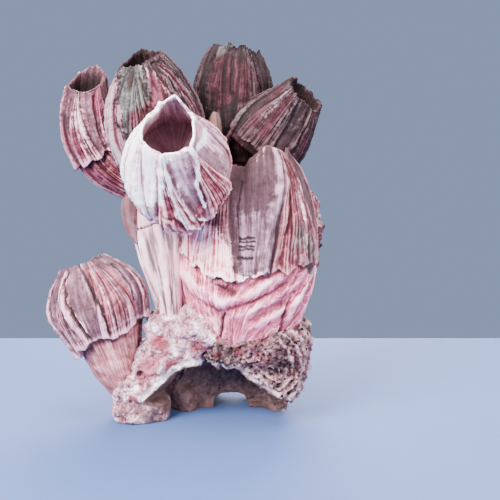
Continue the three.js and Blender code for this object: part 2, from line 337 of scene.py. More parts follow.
def strokes_on(shell, angle, s, strokes):
    """A mask that is 1 along given strokes of (angle, place) and fades over their width."""
    length = np.linalg.norm(np.subtract(shell["mouth"], shell["root"]))
    around = read_column(shell["girth"], 1, s)
    mask = np.zeros(angle.shape)
    where = round_foot(angle, around, s * length)
    wander = 0.55 * rough(where * 0.3, shell["seed"] + 41, 3)
    for points, width, amount in strokes:
        nearest = np.full(angle.shape, 1e9)
        turned = (np.degrees(angle) - points[0][0] + 180) % 360 - 180
        x = np.radians(turned) * around + wander
        y = s * length + wander[:, ::-1]
        line = rounded(points)
        knots = [(math.radians(a - points[0][0]) * around, p * length) for a, p in line]
        pairs = list(zip(knots, knots[1:])) or [(knots[0], knots[0])]
        for (x0, y0), (x1, y1) in pairs:
            dx, dy = x1 - x0, y1 - y0
            t = np.clip(((x - x0) * dx + (y - y0) * dy) / (dx * dx + dy * dy + 1e-9), 0, 1)
            nearest = np.minimum(nearest, np.hypot(x - x0 - t * dx, y - y0 - t * dy))
        mask = mask + amount * np.exp(-((nearest / width) ** 2))
    return mask


def on_turn(table, column, degrees):
    """A value between the rows of a table whose first column is an angle round the shell."""
    rows = np.array(sorted(table), float)
    around = np.concatenate([rows[:, 0] - 360, rows[:, 0], rows[:, 0] + 360])
    value = np.tile(rows[:, column], 3)
    spread = [-4.0, -2.0, 0.0, 2.0, 4.0]
    return sum(np.interp(degrees + d, around, value) for d in spread) / len(spread)


def pleats(part, count, lay, climb, seed):
    """Ribs of a plate from 0 in a groove to about 1 on a crest, uneven and here and there forked."""
    sway = rough(lay * [0.12, 0.12, 0.05] + 3.0, seed + 5, 2)
    shift = 0.5 * bumps(lay * [0.25, 0.25, 0.0] + 5.0, seed + 6) + 0.3 * sway
    phase = part * count + shift
    number = np.floor(phase)
    within = phase - number
    chance = 0.5 + 0.5 * bumps(np.stack([number * 1.7, number * 0.0, part * 0.0], -1), seed + 8)
    single = np.sqrt(1.0 - (2.0 * within - 1.0) ** 2)
    double = np.sqrt(1.0 - (2.0 * ((2.0 * within) % 1.0) - 1.0) ** 2)
    forked = smooth(0.5, 0.25, climb) * (chance > 0.55)
    crest = single + (0.75 * double - single) * forked
    return crest * (0.55 + 0.75 * chance)


def blurred(field, rows, lines):
    """The mean of a grid over a window, round in its lines and cut off at its first and last row."""
    padded = np.pad(field, ((rows, rows), (0, 0)), mode="edge")
    total = np.cumsum(np.pad(padded, ((1, 0), (0, 0))), axis=0)
    field = (total[2 * rows + 1 :] - total[: -2 * rows - 1]) / (2 * rows + 1)
    padded = np.pad(field, ((0, 0), (lines, lines)), mode="wrap")
    total = np.cumsum(np.pad(padded, ((0, 0), (1, 0))), axis=1)
    return (total[:, 2 * lines + 1 :] - total[:, : -2 * lines - 1]) / (2 * lines + 1)


def shell_lines(shell):
    """The lines of a shell round its foot: the plate or the strip that each one lies on."""
    girth = max(row[1] for row in shell["girth"])
    taper = shell.get("taper", PLATE_TAPER)
    k, raised, part = lines_round(shell["plates"], taper, girth)
    plates = np.array(shell["plates"], float)
    facing, half = plates[k].T
    following = plates[(k + 1) % len(plates)]
    past_first = np.where(k == len(plates) - 1, 360.0, 0.0)
    g = SimpleNamespace(girth=girth, taper=taper, raised=raised, part=part, facing=facing, half=half)
    g.length = np.linalg.norm(np.subtract(shell["mouth"], shell["root"]))
    g.facing2 = following[:, 0] + past_first
    g.half2 = following[:, 1]
    g.across = 2.0 * part - 1.0
    edge, edge2 = facing + half, g.facing2 - g.half2
    on_strip = edge + (edge2 - edge) * part
    g.foot_angle = np.radians(np.where(raised, facing + half * g.across, on_strip))
    return g


def add_rows(shell, g):
    """The rows of a shell: its cup, its wall, its rim, and the hollow down to its floor."""
    cup_rows = max(FEWEST_CUP_ROWS, int(shell["ledge"] * g.length / ROW_SPACING / CUP_STRETCH))
    wall_rows = int((1 - shell["ledge"]) * g.length / ROW_SPACING)
    counts = (cup_rows, wall_rows, len(RIM_STEPS), INNER_ROWS, BASE_ROWS)
    zone = np.concatenate([np.full(n, z) for z, n in enumerate(counts)])
    step = [np.linspace(0, 1, cup_rows), np.linspace(0, 1, wall_rows), np.array(RIM_STEPS)]
    step += [np.linspace(0, 1, n + 1)[1:] for n in (INNER_ROWS, BASE_ROWS)]
    g.zone, g.step = zone[:, None], np.concatenate(step)[:, None]
    g.cup, g.wall, g.rim, g.inner, g.base = (g.zone == z for z in range(len(counts)))

    flat = round_foot(g.foot_angle, g.girth, 0.0)
    ragged = rough(flat * 0.35 + 7.0, shell["seed"] + 11, 4) * shell.get("ragged", 0.8) / g.length
    line = shell.get("ledge_line", [[0, shell["ledge"]]])
    foot_turn = np.degrees(g.foot_angle)
    g.ledge = (on_turn(line, 1, foot_turn) + ragged)[None, :]
    g.drop = on_turn(shell["ledge_step"], 1, foot_turn)[None, :]
    g.climb = np.where(g.cup, 0.0, np.where(g.wall, g.step, 1.0))
    on_wall = g.ledge + (1 - g.ledge) * g.step
    s = np.where(g.cup, g.ledge * g.step, np.where(g.wall, on_wall, 1.0))
    s = np.where(g.inner, 1.0 - (1.0 - shell["floor"]) * g.step, s)
    g.s = np.where(g.base, shell["floor"] - FLOOR_DISH * g.step, s)


def add_turns(shell, g):
    """The angle of each point, as the plates narrow and twist towards the mouth."""
    narrow = 1.0 - g.taper * g.climb**1.2
    on_plate = g.facing + g.half * narrow * g.across
    on_strip = g.facing + g.half * narrow
    on_strip = on_strip + (g.facing2 - g.half2 * narrow - on_strip) * g.part
    twist = shell.get("twist", 0.0)
    turned = twist * smooth(1.0, 0.0, g.climb)
    g.angle = np.radians(np.where(g.raised, on_plate, on_strip) - twist + turned)
    g.turn = np.degrees(g.angle)
    lean = on_turn(shell.get("lean", [[0, 0]]), 1, np.degrees(g.foot_angle))
    leaning = g.foot_angle + np.radians(lean) * (np.minimum(g.s, g.ledge) - g.ledge)
    g.lay = round_foot(leaning, g.girth, g.s * g.length)
    g.around = read_column(shell["girth"], 1, g.s)
    plate_width = 2 * g.half * narrow * math.pi / 180 * g.around
    g.from_edge = (1 - np.abs(g.across)) * plate_width / 2
    g.lift = np.where(g.raised, smooth(0.0, 1.0, g.from_edge), 0.0)


def relief_of(shell, g):
    """How far each point stands out: plates, ribs, threads, growth halts and listed strokes."""
    seed = shell["seed"]
    spacing = shell.get("rib_spacing", RIB_SPACING)
    count = np.maximum(1, np.round(g.half * math.pi / 90 * g.girth / spacing))
    fine = rough(g.lay * [0.55, 0.55, 0.03] + 1.0, seed, 3)
    thread = 1.0 - 2.0 * np.abs(rough(g.lay * [1.1, 1.1, 0.04] + 4.0, seed + 9, 3))
    rib = pleats(g.part + 0 * g.s, count, g.lay, g.climb, seed) + 0.15 * fine
    g.rib = np.where(g.raised, rib * smooth(0.0, 0.6, g.from_edge), 0.0)
    relief = np.where(g.cup, shell["cup_ribs"], 1.0 - 0.5 * g.climb**2)
    relief = np.where(g.rim, 0.35, np.where(g.zone > 2, 0.0, relief))
    out = RIB * shell.get("ribs", 1.0) * relief * (g.rib + 0.2 * thread)
    out = out + np.where(g.zone > 0, PLATE_LIFT * g.lift * (1 - 0.35 * g.climb), 0.0)
    out = out + np.where(g.wall, g.drop * (1 - g.climb) ** 2.5, 0.0)
    wavy = 1.1 * bumps(g.lay * [0.1, 0.1, 0.05], seed + 3)
    halt = (g.s * g.length * HALTS_PER_MM + wavy) % 1.0
    out = out + np.where(g.zone < 2, (0.22 * g.lift + 0.05) * (halt - 0.5), 0.0)
    out = out + np.where(g.zone < 2, 0.7 * rough(g.lay * [0.09, 0.09, 0.07], seed + 2, 4), 0.0)
    at_ledge = np.exp(-(((g.s - g.ledge) * g.length / LEDGE_LIP) ** 2))
    g.lip = np.where(g.wall, at_ledge, 0.0) * np.minimum(g.drop, 1.0)
    out = out + g.lip * 0.25 * (1 + fine)
    for name, sign in (("ridges", 1.0), ("dents", -1.0)):
        drawn = strokes_on(shell, g.angle, g.s, shell["strokes"].get(name, ()))
        out = out + np.where(g.zone < 3, sign * drawn, 0.0)
    return out


def hollowed_out(shell, g, out):
    """The same relief with the wall's thickness taken off inside the mouth."""
    wall_now = RIM_WALL + (WALL - RIM_WALL) * smooth(0.0, 0.5, g.step)
    crease = rough(g.lay * [0.35, 0.35, 0.05] + 9.0, shell["seed"] + 31, 3)
    sheath = np.sin(g.s * g.length * 5.0) * 0.12 * smooth(0.5, 0.0, g.step)
    out = np.where(g.rim, out - RIM_WALL * g.step, out)
    inside = -wall_now - 0.5 * crease * smooth(0, 0.3, g.step) + sheath
    return np.where(g.inner, inside, out)


def lip_rise(shell, g, brim):
    """How far the rows near the mouth are raised or worn down along the axis."""
    at_lip = round_foot(g.angle[-1], shell["girth"][-1][1], 0.0)
    chipped = rough(at_lip * 0.55 + 2.0, shell["seed"] + 21, 4) * shell.get("chips", 0.7)
    rise = (on_turn(shell["rim"], 1, g.turn) + chipped) * brim
    rise = rise + np.where(g.rim, 0.35 * np.sin(g.step * math.pi), 0.0)
    return rise - g.lip * 0.5 * g.lift


def grow_shell(shell):
    """Rows of points of a shell and what its finish needs to know about each of them."""
    g = shell_lines(shell)
    add_rows(shell, g)
    add_turns(shell, g)
    out = relief_of(shell, g)
    # How far each point stands above its surroundings; the finish uses it to paint shade into
    # grooves.
    cavity = (out - blurred(out, 5, 5)) * 1.5 + (out - blurred(out, 0, 1)) * 1.5
    out = hollowed_out(shell, g, out)
    brim = smooth(shell.get("brim", 0.5), 1.0, g.s)
    out = out + on_turn(shell["rim"], 2, g.turn) * brim
    rise = lip_rise(shell, g, brim)
    shrink = np.where(g.base, np.cos(g.step * math.pi / 2), 1.0)
    middle, side, front, along = on_axis(shell, g.s)
    wide = np.maximum(g.around + out, NARROWEST) * shrink
    deep = np.maximum(read_column(shell["girth"], 2, g.s) + out, NARROWEST) * shrink
    points = middle + side * (wide * np.sin(g.angle))[..., None]
    points = points + front * (deep * np.cos(g.angle))[..., None]
    points = points + along * rise[..., None]

    inside = smooth(-0.05, 0.2, g.step + (g.zone == 4))
    marks = {
        "rib": np.where(g.zone < 3, g.rib, 0.3),
        "cavity": np.where(g.zone < 3, np.clip(0.5 + 0.5 * cavity, 0, 1), 0.5),
        "plate": np.where(g.zone < 3, g.lift * (g.zone > 0), 0.0),
        "cup": np.where(g.cup, 1.0, 0.0) + 0 * g.s,
        "inside": np.where(g.zone > 2, inside, 0.0) + 0 * g.s,
    }
    for name in ("pale", "crimson", "dark", "grey", "lilac"):
        marks[name] = strokes_on(shell, g.angle, g.s, shell["strokes"].get(name, ()))
    return points, marks, g.lay


def grid_faces(rows, lines):
    """Faces of a closed grid of rows, with two more points as its poles."""
    row, line = np.meshgrid(np.arange(rows - 1), np.arange(lines), indexing="ij")
    beside = (line + 1) % lines
    quads = np.stack([row * lines + line, row * lines + beside], -1)
    quads = np.concatenate([quads, quads[..., ::-1] + lines], -1).reshape(-1, 4).tolist()
    below = [[rows * lines, (a + 1) % lines, a] for a in range(lines)]
    top = (rows - 1) * lines
    above = [[rows * lines + 1, top + a, top + (a + 1) % lines] for a in range(lines)]
    return quads + below + above


def with_poles(values):
    """The points of a grid in one list, with the means of its first and last row at the end."""
    ends = np.stack([values[0].mean(0), values[-1].mean(0)])
    return np.concatenate([values.reshape(-1, *values.shape[2:]), ends])


def linked_mesh(name, vertices, faces):
    """A new object in the scene from its vertices in metres and its faces."""
    mesh = bpy.data.meshes.new(name)
    mesh.from_pydata(vertices.tolist(), [], faces)
    made = bpy.data.objects.new(name, mesh)
    bpy.context.scene.collection.objects.link(made)
    return made


def closed_grid(name, points):
    """A closed object from a grid of points in millimetres."""
    return linked_mesh(name, placed(with_poles(points)), grid_faces(*points.shape[:2]))


def skin_mesh(name, points, marks, lay):
    """A closed skin from rows of points, with what its finish reads at each of them."""
    piece = closed_grid(name, points)
    mesh = piece.data
    for mark, values in marks.items():
        layer = mesh.attributes.new(mark, "FLOAT", "POINT")
        layer.data.foreach_set("value", with_poles(values).astype(np.float32))
    layer = mesh.attributes.new("lay", "FLOAT_VECTOR", "POINT")
    layer.data.foreach_set("vector", with_poles(lay).astype(np.float32).reshape(-1))
    mesh.polygons.foreach_set("use_smooth", np.ones(len(mesh.polygons), bool))
    return piece


def shell_finish(name, colours, speckle=0.5, shine=0.3):
    """Chalk and rose: pale ribs, red grooves deepened by painted shade, lilac strips, and growth
    lines across them all.
    """
    material, shader, paint = new_paint(name)
    lay = paint.attribute("lay", "Vector")
    where = paint.node("ShaderNodeTexCoord", None, None, "Object")
    streak = paint.noise(paint.stretched(lay, (0.6, 0.6, 0.05)), 1.0, 4.0, 0.6)
    hair = paint.noise(paint.stretched(lay, (1.6, 1.6, 0.1)), 1.0, 3.0, 0.65)
    growth = paint.noise(paint.stretched(lay, (0.2, 0.2, 1.1)), 1.0, 4.0, 0.6)
    cloud = paint.noise(where, 75.0, 5.0, 0.65)
    blot = paint.noise(where, 230.0, 4.0, 0.65)
    speck = paint.noise(where, 900.0, 3.0, 0.65)
    # crest lightens the crests and darkens the grooves: partly the shell's own pale ribs and red
    # grooves, partly painted shade in the grooves and a painted highlight on the crests.
    crest = paint.attribute("cavity") - 0.5
    rib = paint.attribute("rib") - 0.5
    threads = (streak - 0.5) * 1.3 + (hair - 0.5) * 1.1
    uneven = (cloud - 0.5) * 0.7 + (blot - 0.5) * 0.7 + (growth - 0.5) * 0.2
    uneven = uneven + (speck - 0.5) * speckle

    def toned(value, tones):
        stops = [(0.12, tones[0]), (0.38, tones[1]), (0.62, tones[2]), (0.9, tones[3])]
        return paint.node("ShaderNodeValToRGB", {"stops": stops}, {0: value})

    wall = toned(0.5 + crest * 0.7 + rib * 0.3 + threads * 0.9 + uneven, colours["wall"])
    strip = toned(0.5 + crest * 0.6 + threads * 0.7 + uneven * 1.2, colours["strip"])
    cup = toned(0.5 + crest * 0.8 + threads * 1.1 + uneven, colours["cup"])
    skin = paint.attribute("plate").between(0.05, 0.4).mix(strip, wall)
    skin = paint.attribute("cup").between(0.4, 0.6).mix(skin, cup)
    value = 0.5 + crest * 1.0 + threads * 1.3 + uneven * 1.1
    edged = uneven * 1.6 + threads * 0.8
    for mark in ("lilac", "grey", "crimson", "pale"):
        share = (paint.attribute(mark) + edged * 0.9).between(0.35, 0.8)
        share = share * paint.attribute(mark).between(0.02, 0.2)
        skin = share.mix(skin, toned(value, colours[mark]))
    inner = toned(0.5 + threads + uneven, colours["inner"])
    skin = paint.attribute("inside").mix(skin, inner)
    # This dark mix is partly dirt in specks and streaks and partly painted shade, deep in the grooves
    # and along the dark strokes in the dents.
    dirt_and_shade = (paint.attribute("dark") + (0.20 - paint.attribute("cavity")).clamp() * 1.6).clamp()
    dirt_and_shade = (dirt_and_shade + (speck - 0.62).clamp() * 2.6 + (0.36 - hair).clamp() * 3.0).clamp()
    skin = dirt_and_shade.mix(skin, colours["dirt_and_shade"])
    height = hair * 0.55 + growth * 0.2 + speck * 0.3 + blot * 0.3
    feed(paint, shader, skin, 0.72 + cloud * 0.2, height, 0.45)
    shader.inputs["Specular IOR Level"].default_value = shine
    return material


def finished_skin(piece_name, node, grown, material):
    """Make the skin of what has grown, dress it and put it in the place of its solid."""
    piece = skin_mesh(piece_name, *grown)
    piece.data.materials.append(material)
    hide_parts(node)
    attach(piece, "root")


def tones(*steps):
    """Opaque colours from dark to light."""
    return [(red, green, blue, 1.0) for red, green, blue in steps]


ROSE = {
    "wall": tones(
        (0.026, 0.006, 0.008), (0.078, 0.019, 0.025), (0.19, 0.058, 0.074), (0.44, 0.22, 0.25)
    ),
    "strip": tones(
        (0.028, 0.011, 0.015), (0.052, 0.022, 0.029), (0.083, 0.038, 0.051), (0.15, 0.080, 0.105)
    ),
    "cup": tones(
        (0.19, 0.032, 0.055), (0.46, 0.095, 0.155), (0.74, 0.20, 0.33), (0.97, 0.58, 0.74)
    ),
    "lilac": tones(
        (0.07, 0.030, 0.041), (0.13, 0.065, 0.087), (0.21, 0.120, 0.155), (0.38, 0.25, 0.31)
    ),
    "grey": tones((0.03, 0.018, 0.018), (0.08, 0.05, 0.05), (0.15, 0.10, 0.10), (0.34, 0.26, 0.25)),
    "crimson": tones(
        (0.035, 0.005, 0.008), (0.10, 0.014, 0.022), (0.21, 0.042, 0.062), (0.42, 0.15, 0.18)
    ),
    "pale": tones((0.30, 0.05, 0.07), (0.80, 0.22, 0.28), (0.97, 0.46, 0.53), (0.97, 0.74, 0.79)),
    "inner": tones(
        (0.14, 0.048, 0.062), (0.26, 0.10, 0.125), (0.44, 0.18, 0.22), (0.62, 0.30, 0.35)
    ),
    "dirt_and_shade": (0.018, 0.007, 0.008, 1.0),
}
LADDER = [[(-7, s), (5, s - 0.004)] for s in (0.527, 0.573, 0.59, 0.615, 0.634)]
TRUNK = {
    "root": [23, 6, 33],
    "bend": [24, 6, 70],
    "mouth": [25, 1, 107],
    "front": [0, -1, 0],
    "girth": [
        [0, 20, 19],
        [0.18, 24.6, 23.5],
        [0.42, 26.8, 25.5],
        [0.65, 26.2, 24.5],
        [0.85, 21.5, 20],
        [1, 14.5, 13.5],
    ],
    "plates": [
        [-78, 24],
        [-30, 21],
        [48, 30],
        [108, 24],
        [162, 24],
        [224, 24],
    ],
    "ledge": 0.40,
    "ledge_line": [
        [-100, 0.52],
        [-60, 0.50],
        [-38, 0.44],
        [-5, 0.40],
        [12, 0.45],
        [69, 0.47],
        [180, 0.38],
    ],
    "ledge_step": [[-90, 0.8], [-40, 0.7], [-12, 1.3], [12, 1.0], [24, 0.25], [60, 0.1], [120, 0.6]],
    "lean": [[-90, 100], [-50, 60], [-24, 0], [0, -170], [60, -190], [110, -60], [180, 0]],
    "ragged": 1.6,
    "cup_ribs": 0.35,
    "rim": [
        [-60, 0, 0],
        [-10, -1.5, 0],
        [5, 3, 0.5],
        [24, 7, 1.5],
        [45, 5, 1],
        [60, 2, 0.5],
        [100, 3, 0],
        [150, 7, -2],
        [185, 11, -3.5],
        [222, 10, -4],
        [250, 4, -1],
    ],
    "floor": 0.45,
    "seed": 3,
    "strokes": {
        "ridges": [
            ([(33, 1.0), (33, 0.88), (26, 0.78), (20, 0.69), (16, 0.56), (13, 0.45)], 1.9, 2.0),
            ([(-84, 0.44), (-58, 0.37), (-38, 0.31), (-22, 0.27)], 4.4, 1.9),
            ([(-22, 0.26), (-4, 0.30), (14, 0.37), (34, 0.45)], 2.4, 1.1),
            ([(-8, 0.20), (14, 0.26), (34, 0.33), (56, 0.42)], 2.0, 0.7),
            ([(10, 0.14), (34, 0.22), (50, 0.28)], 1.4, 0.8),
            ([(-60, 0.18), (-48, 0.08)], 2.6, 0.9),
            ([(-26, 0.395), (-20, 0.385)], 1.8, 1.2),
            ([(58, 0.97), (56, 0.8), (52, 0.62), (50, 0.5)], 1.3, 1.0),
            ([(70, 0.42), (52, 0.30), (42, 0.18)], 1.8, 1.1),
            ([(88, 0.40), (70, 0.26), (62, 0.14)], 1.8, 1.0),
        ],
        "dents": [
            ([(-9, 0.93), (-10, 0.8), (-8, 0.68)], 0.45, 0.6),
            ([(-66, 0.30), (-39, 0.25), (-24, 0.215)], 0.8, 0.5),
            ([(-22, 0.22), (-5, 0.25), (14, 0.31), (34, 0.38)], 0.7, 0.45),
            ([(-18, 0.21), (-24, 0.12), (-28, 0.03)], 0.6, 1.0),
            ([(40, 0.95), (38, 0.75), (30, 0.6), (26, 0.5)], 0.8, 0.7),
            ([(44, 0.33), (36, 0.2), (36, 0.08)], 0.9, 0.7),
            ([(64, 0.9), (62, 0.75), (66, 0.62)], 0.7, 0.7),
        ]
        + [(rung, 0.4, 0.7) for rung in LADDER],
        # These dark strokes are painted shade in the dents, the ladder slots, under the ledge and at
        # the low rim.
        "dark": [
            ([(-7.5, 0.66), (-7, 0.5)], 0.25, 0.7),
            ([(-30, 0.425), (-10, 0.405)], 0.4, 0.9),
            ([(-19, 0.20), (-24, 0.12), (-27, 0.04)], 0.5, 0.7),
            ([(37, 0.22), (36, 0.08)], 0.8, 0.6),
            ([(-10, 1.0), (-14, 0.93)], 2.5, 0.7),
        ]
        + [(rung, 0.34, 1.3) for rung in LADDER],
        "pale": [
            ([(-54, 0.64), (-46, 0.48)], 5.4, 1.15),
            ([(-34, 0.64), (-30, 0.47)], 5.0, 1.1),
            ([(-20, 0.58), (-17, 0.45)], 3.0, 1.0),
            ([(20, 1.0), (10, 0.98)], 2.2, 0.5),
            ([(-60, 0.42), (-52, 0.34)], 4.6, 1.3),
            ([(-12, 0.43), (2, 0.41), (10, 0.44)], 1.3, 1.1),
            ([(-20, 0.27), (-4, 0.31), (14, 0.38), (28, 0.42)], 1.5, 0.75),
            ([(-30, 0.20), (-36, 0.1)], 4.0, 0.8),
            ([(-6, 0.20), (14, 0.26), (34, 0.33)], 1.0, 0.6),
            ([(60, 0.40), (52, 0.30), (44, 0.2)], 1.2, 0.7),
            ([(56, 0.9), (52, 0.7)], 1.4, 0.45),
        ],
        "crimson": [
            ([(42, 0.95), (40, 0.8), (33, 0.62), (28, 0.5)], 1.9, 1.1),
            ([(-20, 0.39), (-12, 0.33)], 2.2, 1.0),
            ([(-28, 0.385), (-22, 0.37)], 1.3, 0.9),
            ([(0, 0.37), (20, 0.43), (34, 0.44)], 1.4, 0.6),
            ([(-12, 0.24), (8, 0.29), (28, 0.36)], 1.0, 0.6),
            ([(8, 0.22), (26, 0.27), (40, 0.25)], 2.4, 0.55),
            ([(30, 0.50), (44, 0.47), (58, 0.46)], 1.6, 0.7),
            ([(66, 0.95), (64, 0.75)], 2.0, 0.8),
        ],
        "grey": [
            ([(48, 0.62), (60, 0.55), (72, 0.5)], 5.0, 0.8),
            ([(52, 0.46), (64, 0.42)], 3.0, 0.8),
        ],
        "lilac": [
            ([(2, 0.68), (4, 0.52)], 6.0, 1.1),
            ([(33, 1.0), (33, 0.88), (26, 0.78), (20, 0.69), (16, 0.56), (13, 0.45)], 1.8, 1.6),
        ],
    },
}
trunk_finish = shell_finish("trunk_chalk_and_rose", ROSE)
trunk = grow_shell(TRUNK)
finished_skin("trunk_barnacle_shell", "trunk_barnacle", trunk, trunk_finish)

# The front barnacle
# A younger shell that grew out sideways towards the light. Its mouth is wide open, its left wall is
# pale chalk made white with a painted highlight, and sharp ribs fan out from the mouth on its right.
FRONT = {
    "root": [-1, -10, 98],
    "bend": [-2.5, -28, 109],
    "mouth": [-3.4, -45, 120.5],
    "front": [0, 0, -1],
    "girth": [[0, 17.5, 17.5], [0.3, 18.6, 18.4], [0.6, 16, 16.5], [0.82, 12.2, 13], [1, 9, 10]],
    "plates": [
        [-98, 22],
        [-48, 22],
        [4, 20],
        [58, 23],
        [130, 26],
        [215, 30],
    ],
    "twist": 12,
    "rib_spacing": 2.0,
    "ledge": 0.1,
    "ledge_step": [[0, 0.5]],
    "cup_ribs": 0.8,
    "rim": [
        [0, 0.2, 1.4],
        [35, 0.0, 1.8],
        [60, 0.3, 1.7],
        [90, 0.3, 0.2],
        [125, 0.8, -0.2],
        [150, 1.2, 0.3],
        [168, 3.6, 1.2],
        [184, 2.2, 0.2],
        [215, 0.6, -1.8],
        [240, 0.2, -1.6],
        [265, 0.2, 0.4],
        [290, 0.2, 1.2],
        [320, 0.2, 1.5],
    ],
    "chips": 0.35,
    "brim": 0.6,
    "floor": 0.45,
    "seed": 21,
    "strokes": {
        "ridges": [
            ([(47, 0.97), (44, 0.8), (34, 0.6), (33, 0.35), (35, 0.08)], 0.8, 0.9),
            ([(108, 0.98), (116, 0.75), (122, 0.36)], 1.2, 0.9),
            ([(-10, 0.85), (-8, 0.58), (-3, 0.35), (8, 0.17), (20, 0.02)], 1.3, 0.9),
            ([(-1, 0.85), (1, 0.62), (6, 0.40), (15, 0.20), (28, 0.04)], 1.3, 1.0),
            ([(10, 0.70), (13, 0.45), (22, 0.24), (34, 0.08)], 1.2, 0.8),
            ([(-22, 0.6), (-20, 0.3), (-8, 0.10)], 1.2, 0.6),
            ([(-8, 0.24), (8, 0.14)], 9.0, 3.4),
            ([(-92, 0.3)], 9.0, 1.6),
        ],
        "dents": [
            ([(-66, 0.95), (-71, 0.73), (-66, 0.48), (-58, 0.2)], 0.35, 0.9),
            ([(-20, 0.85), (-18, 0.6), (-16, 0.3)], 0.4, 0.5),
            ([(-8, 0.375), (-2, 0.36)], 0.6, 1.2),
        ],
        # These dark strokes are painted shade in two dents.
        "dark": [([(-8, 0.375), (-2, 0.36)], 0.5, 1.2), ([(-70, 0.7), (-66, 0.48)], 0.3, 0.7)],
        # The three wide pale strokes on the left wall are painted highlight over pale chalk, where
        # the window light falls.
        "pale": [
            ([(-100, 0.95), (-94, 0.6), (-90, 0.36)], 9.0, 2.4),
            ([(-55, 0.95), (-48, 0.5)], 7.0, 2.4),
            ([(-36, 0.95), (-33, 0.6)], 4.0, 2.0),
            ([(-52, 0.42), (-50, 0.22)], 1.6, 0.9),
            ([(-72, 0.30), (-66, 0.12)], 1.4, 0.8),
            ([(-38, 0.40), (-30, 0.18)], 1.2, 0.9),
            ([(-1, 0.85), (1, 0.62), (6, 0.40), (15, 0.20), (28, 0.04)], 0.8, 0.8),
            ([(10, 0.70), (13, 0.45), (22, 0.24), (34, 0.08)], 0.7, 0.7),
            ([(47, 0.97), (43, 0.8), (34, 0.6), (33, 0.3)], 0.8, 1.0),
            ([(62, 0.92), (80, 0.85), (104, 0.8)], 1.4, 0.9),
            ([(168, 1.0)], 2.2, 1.5),
            ([(200, 1.0), (240, 1.0), (275, 1.0)], 0.8, 1.5),
            ([(120, 1.0), (95, 1.0), (60, 1.0), (40, 1.0)], 0.7, 1.2),
            ([(-12, 0.85), (-12, 0.5)], 1.0, 0.7),
        ],
        "crimson": [
            ([(34, 0.45), (28, 0.25), (22, 0.1)], 3.0, 0.8),
            ([(50, 0.12), (60, 0.2)], 2.5, 0.8),
            ([(-5, 0.62), (0, 0.42), (9, 0.22), (20, 0.08)], 1.0, 0.8),
            ([(-40, 0.45), (-32, 0.2), (-18, 0.05)], 2.2, 0.6),
            ([(-60, 0.36), (-50, 0.12)], 2.6, 0.65),
            ([(-84, 0.30), (-76, 0.12)], 2.4, 0.55),
        ],
        "grey": [([(22, 0.44), (22, 0.34)], 3.0, 0.5)],
        "lilac": [
            ([(16, 0.95), (14, 0.62)], 3.0, 1.1),
            ([(92, 0.9), (98, 0.6)], 4.0, 1.2),
            ([(-80, 0.6), (-74, 0.35)], 2.2, 0.6),
        ],
    },
}
BRIGHT_ROSE = dict(ROSE)
BRIGHT_ROSE.update(
    {
        "wall": tones(
            (0.08, 0.013, 0.016), (0.23, 0.045, 0.055), (0.48, 0.16, 0.185), (0.84, 0.54, 0.56)
        ),
        "strip": tones(
            (0.11, 0.046, 0.058), (0.24, 0.115, 0.142), (0.36, 0.21, 0.25), (0.58, 0.43, 0.50)
        ),
        "cup": tones(
            (0.085, 0.018, 0.024), (0.24, 0.06, 0.075), (0.46, 0.19, 0.21), (0.78, 0.54, 0.55)
        ),
        "lilac": tones(
            (0.24, 0.10, 0.13), (0.41, 0.21, 0.27), (0.57, 0.35, 0.44), (0.78, 0.58, 0.67)
        ),
        # The palest tones are white, for the painted highlight on the lit left wall.
        "pale": tones(
            (0.5, 0.22, 0.28), (0.92, 0.72, 0.80), (0.97, 0.95, 0.97), (0.97, 0.97, 0.97)
        ),
        "inner": tones(
            (0.18, 0.080, 0.102), (0.30, 0.155, 0.19), (0.39, 0.23, 0.27), (0.50, 0.33, 0.38)
        ),
    }
)
front_finish = shell_finish("front_highlit_pale_and_rose", BRIGHT_ROSE, speckle=0.5, shine=0.2)
front = grow_shell(FRONT)
finished_skin("front_barnacle_shell", "front_barnacle", front, front_finish)
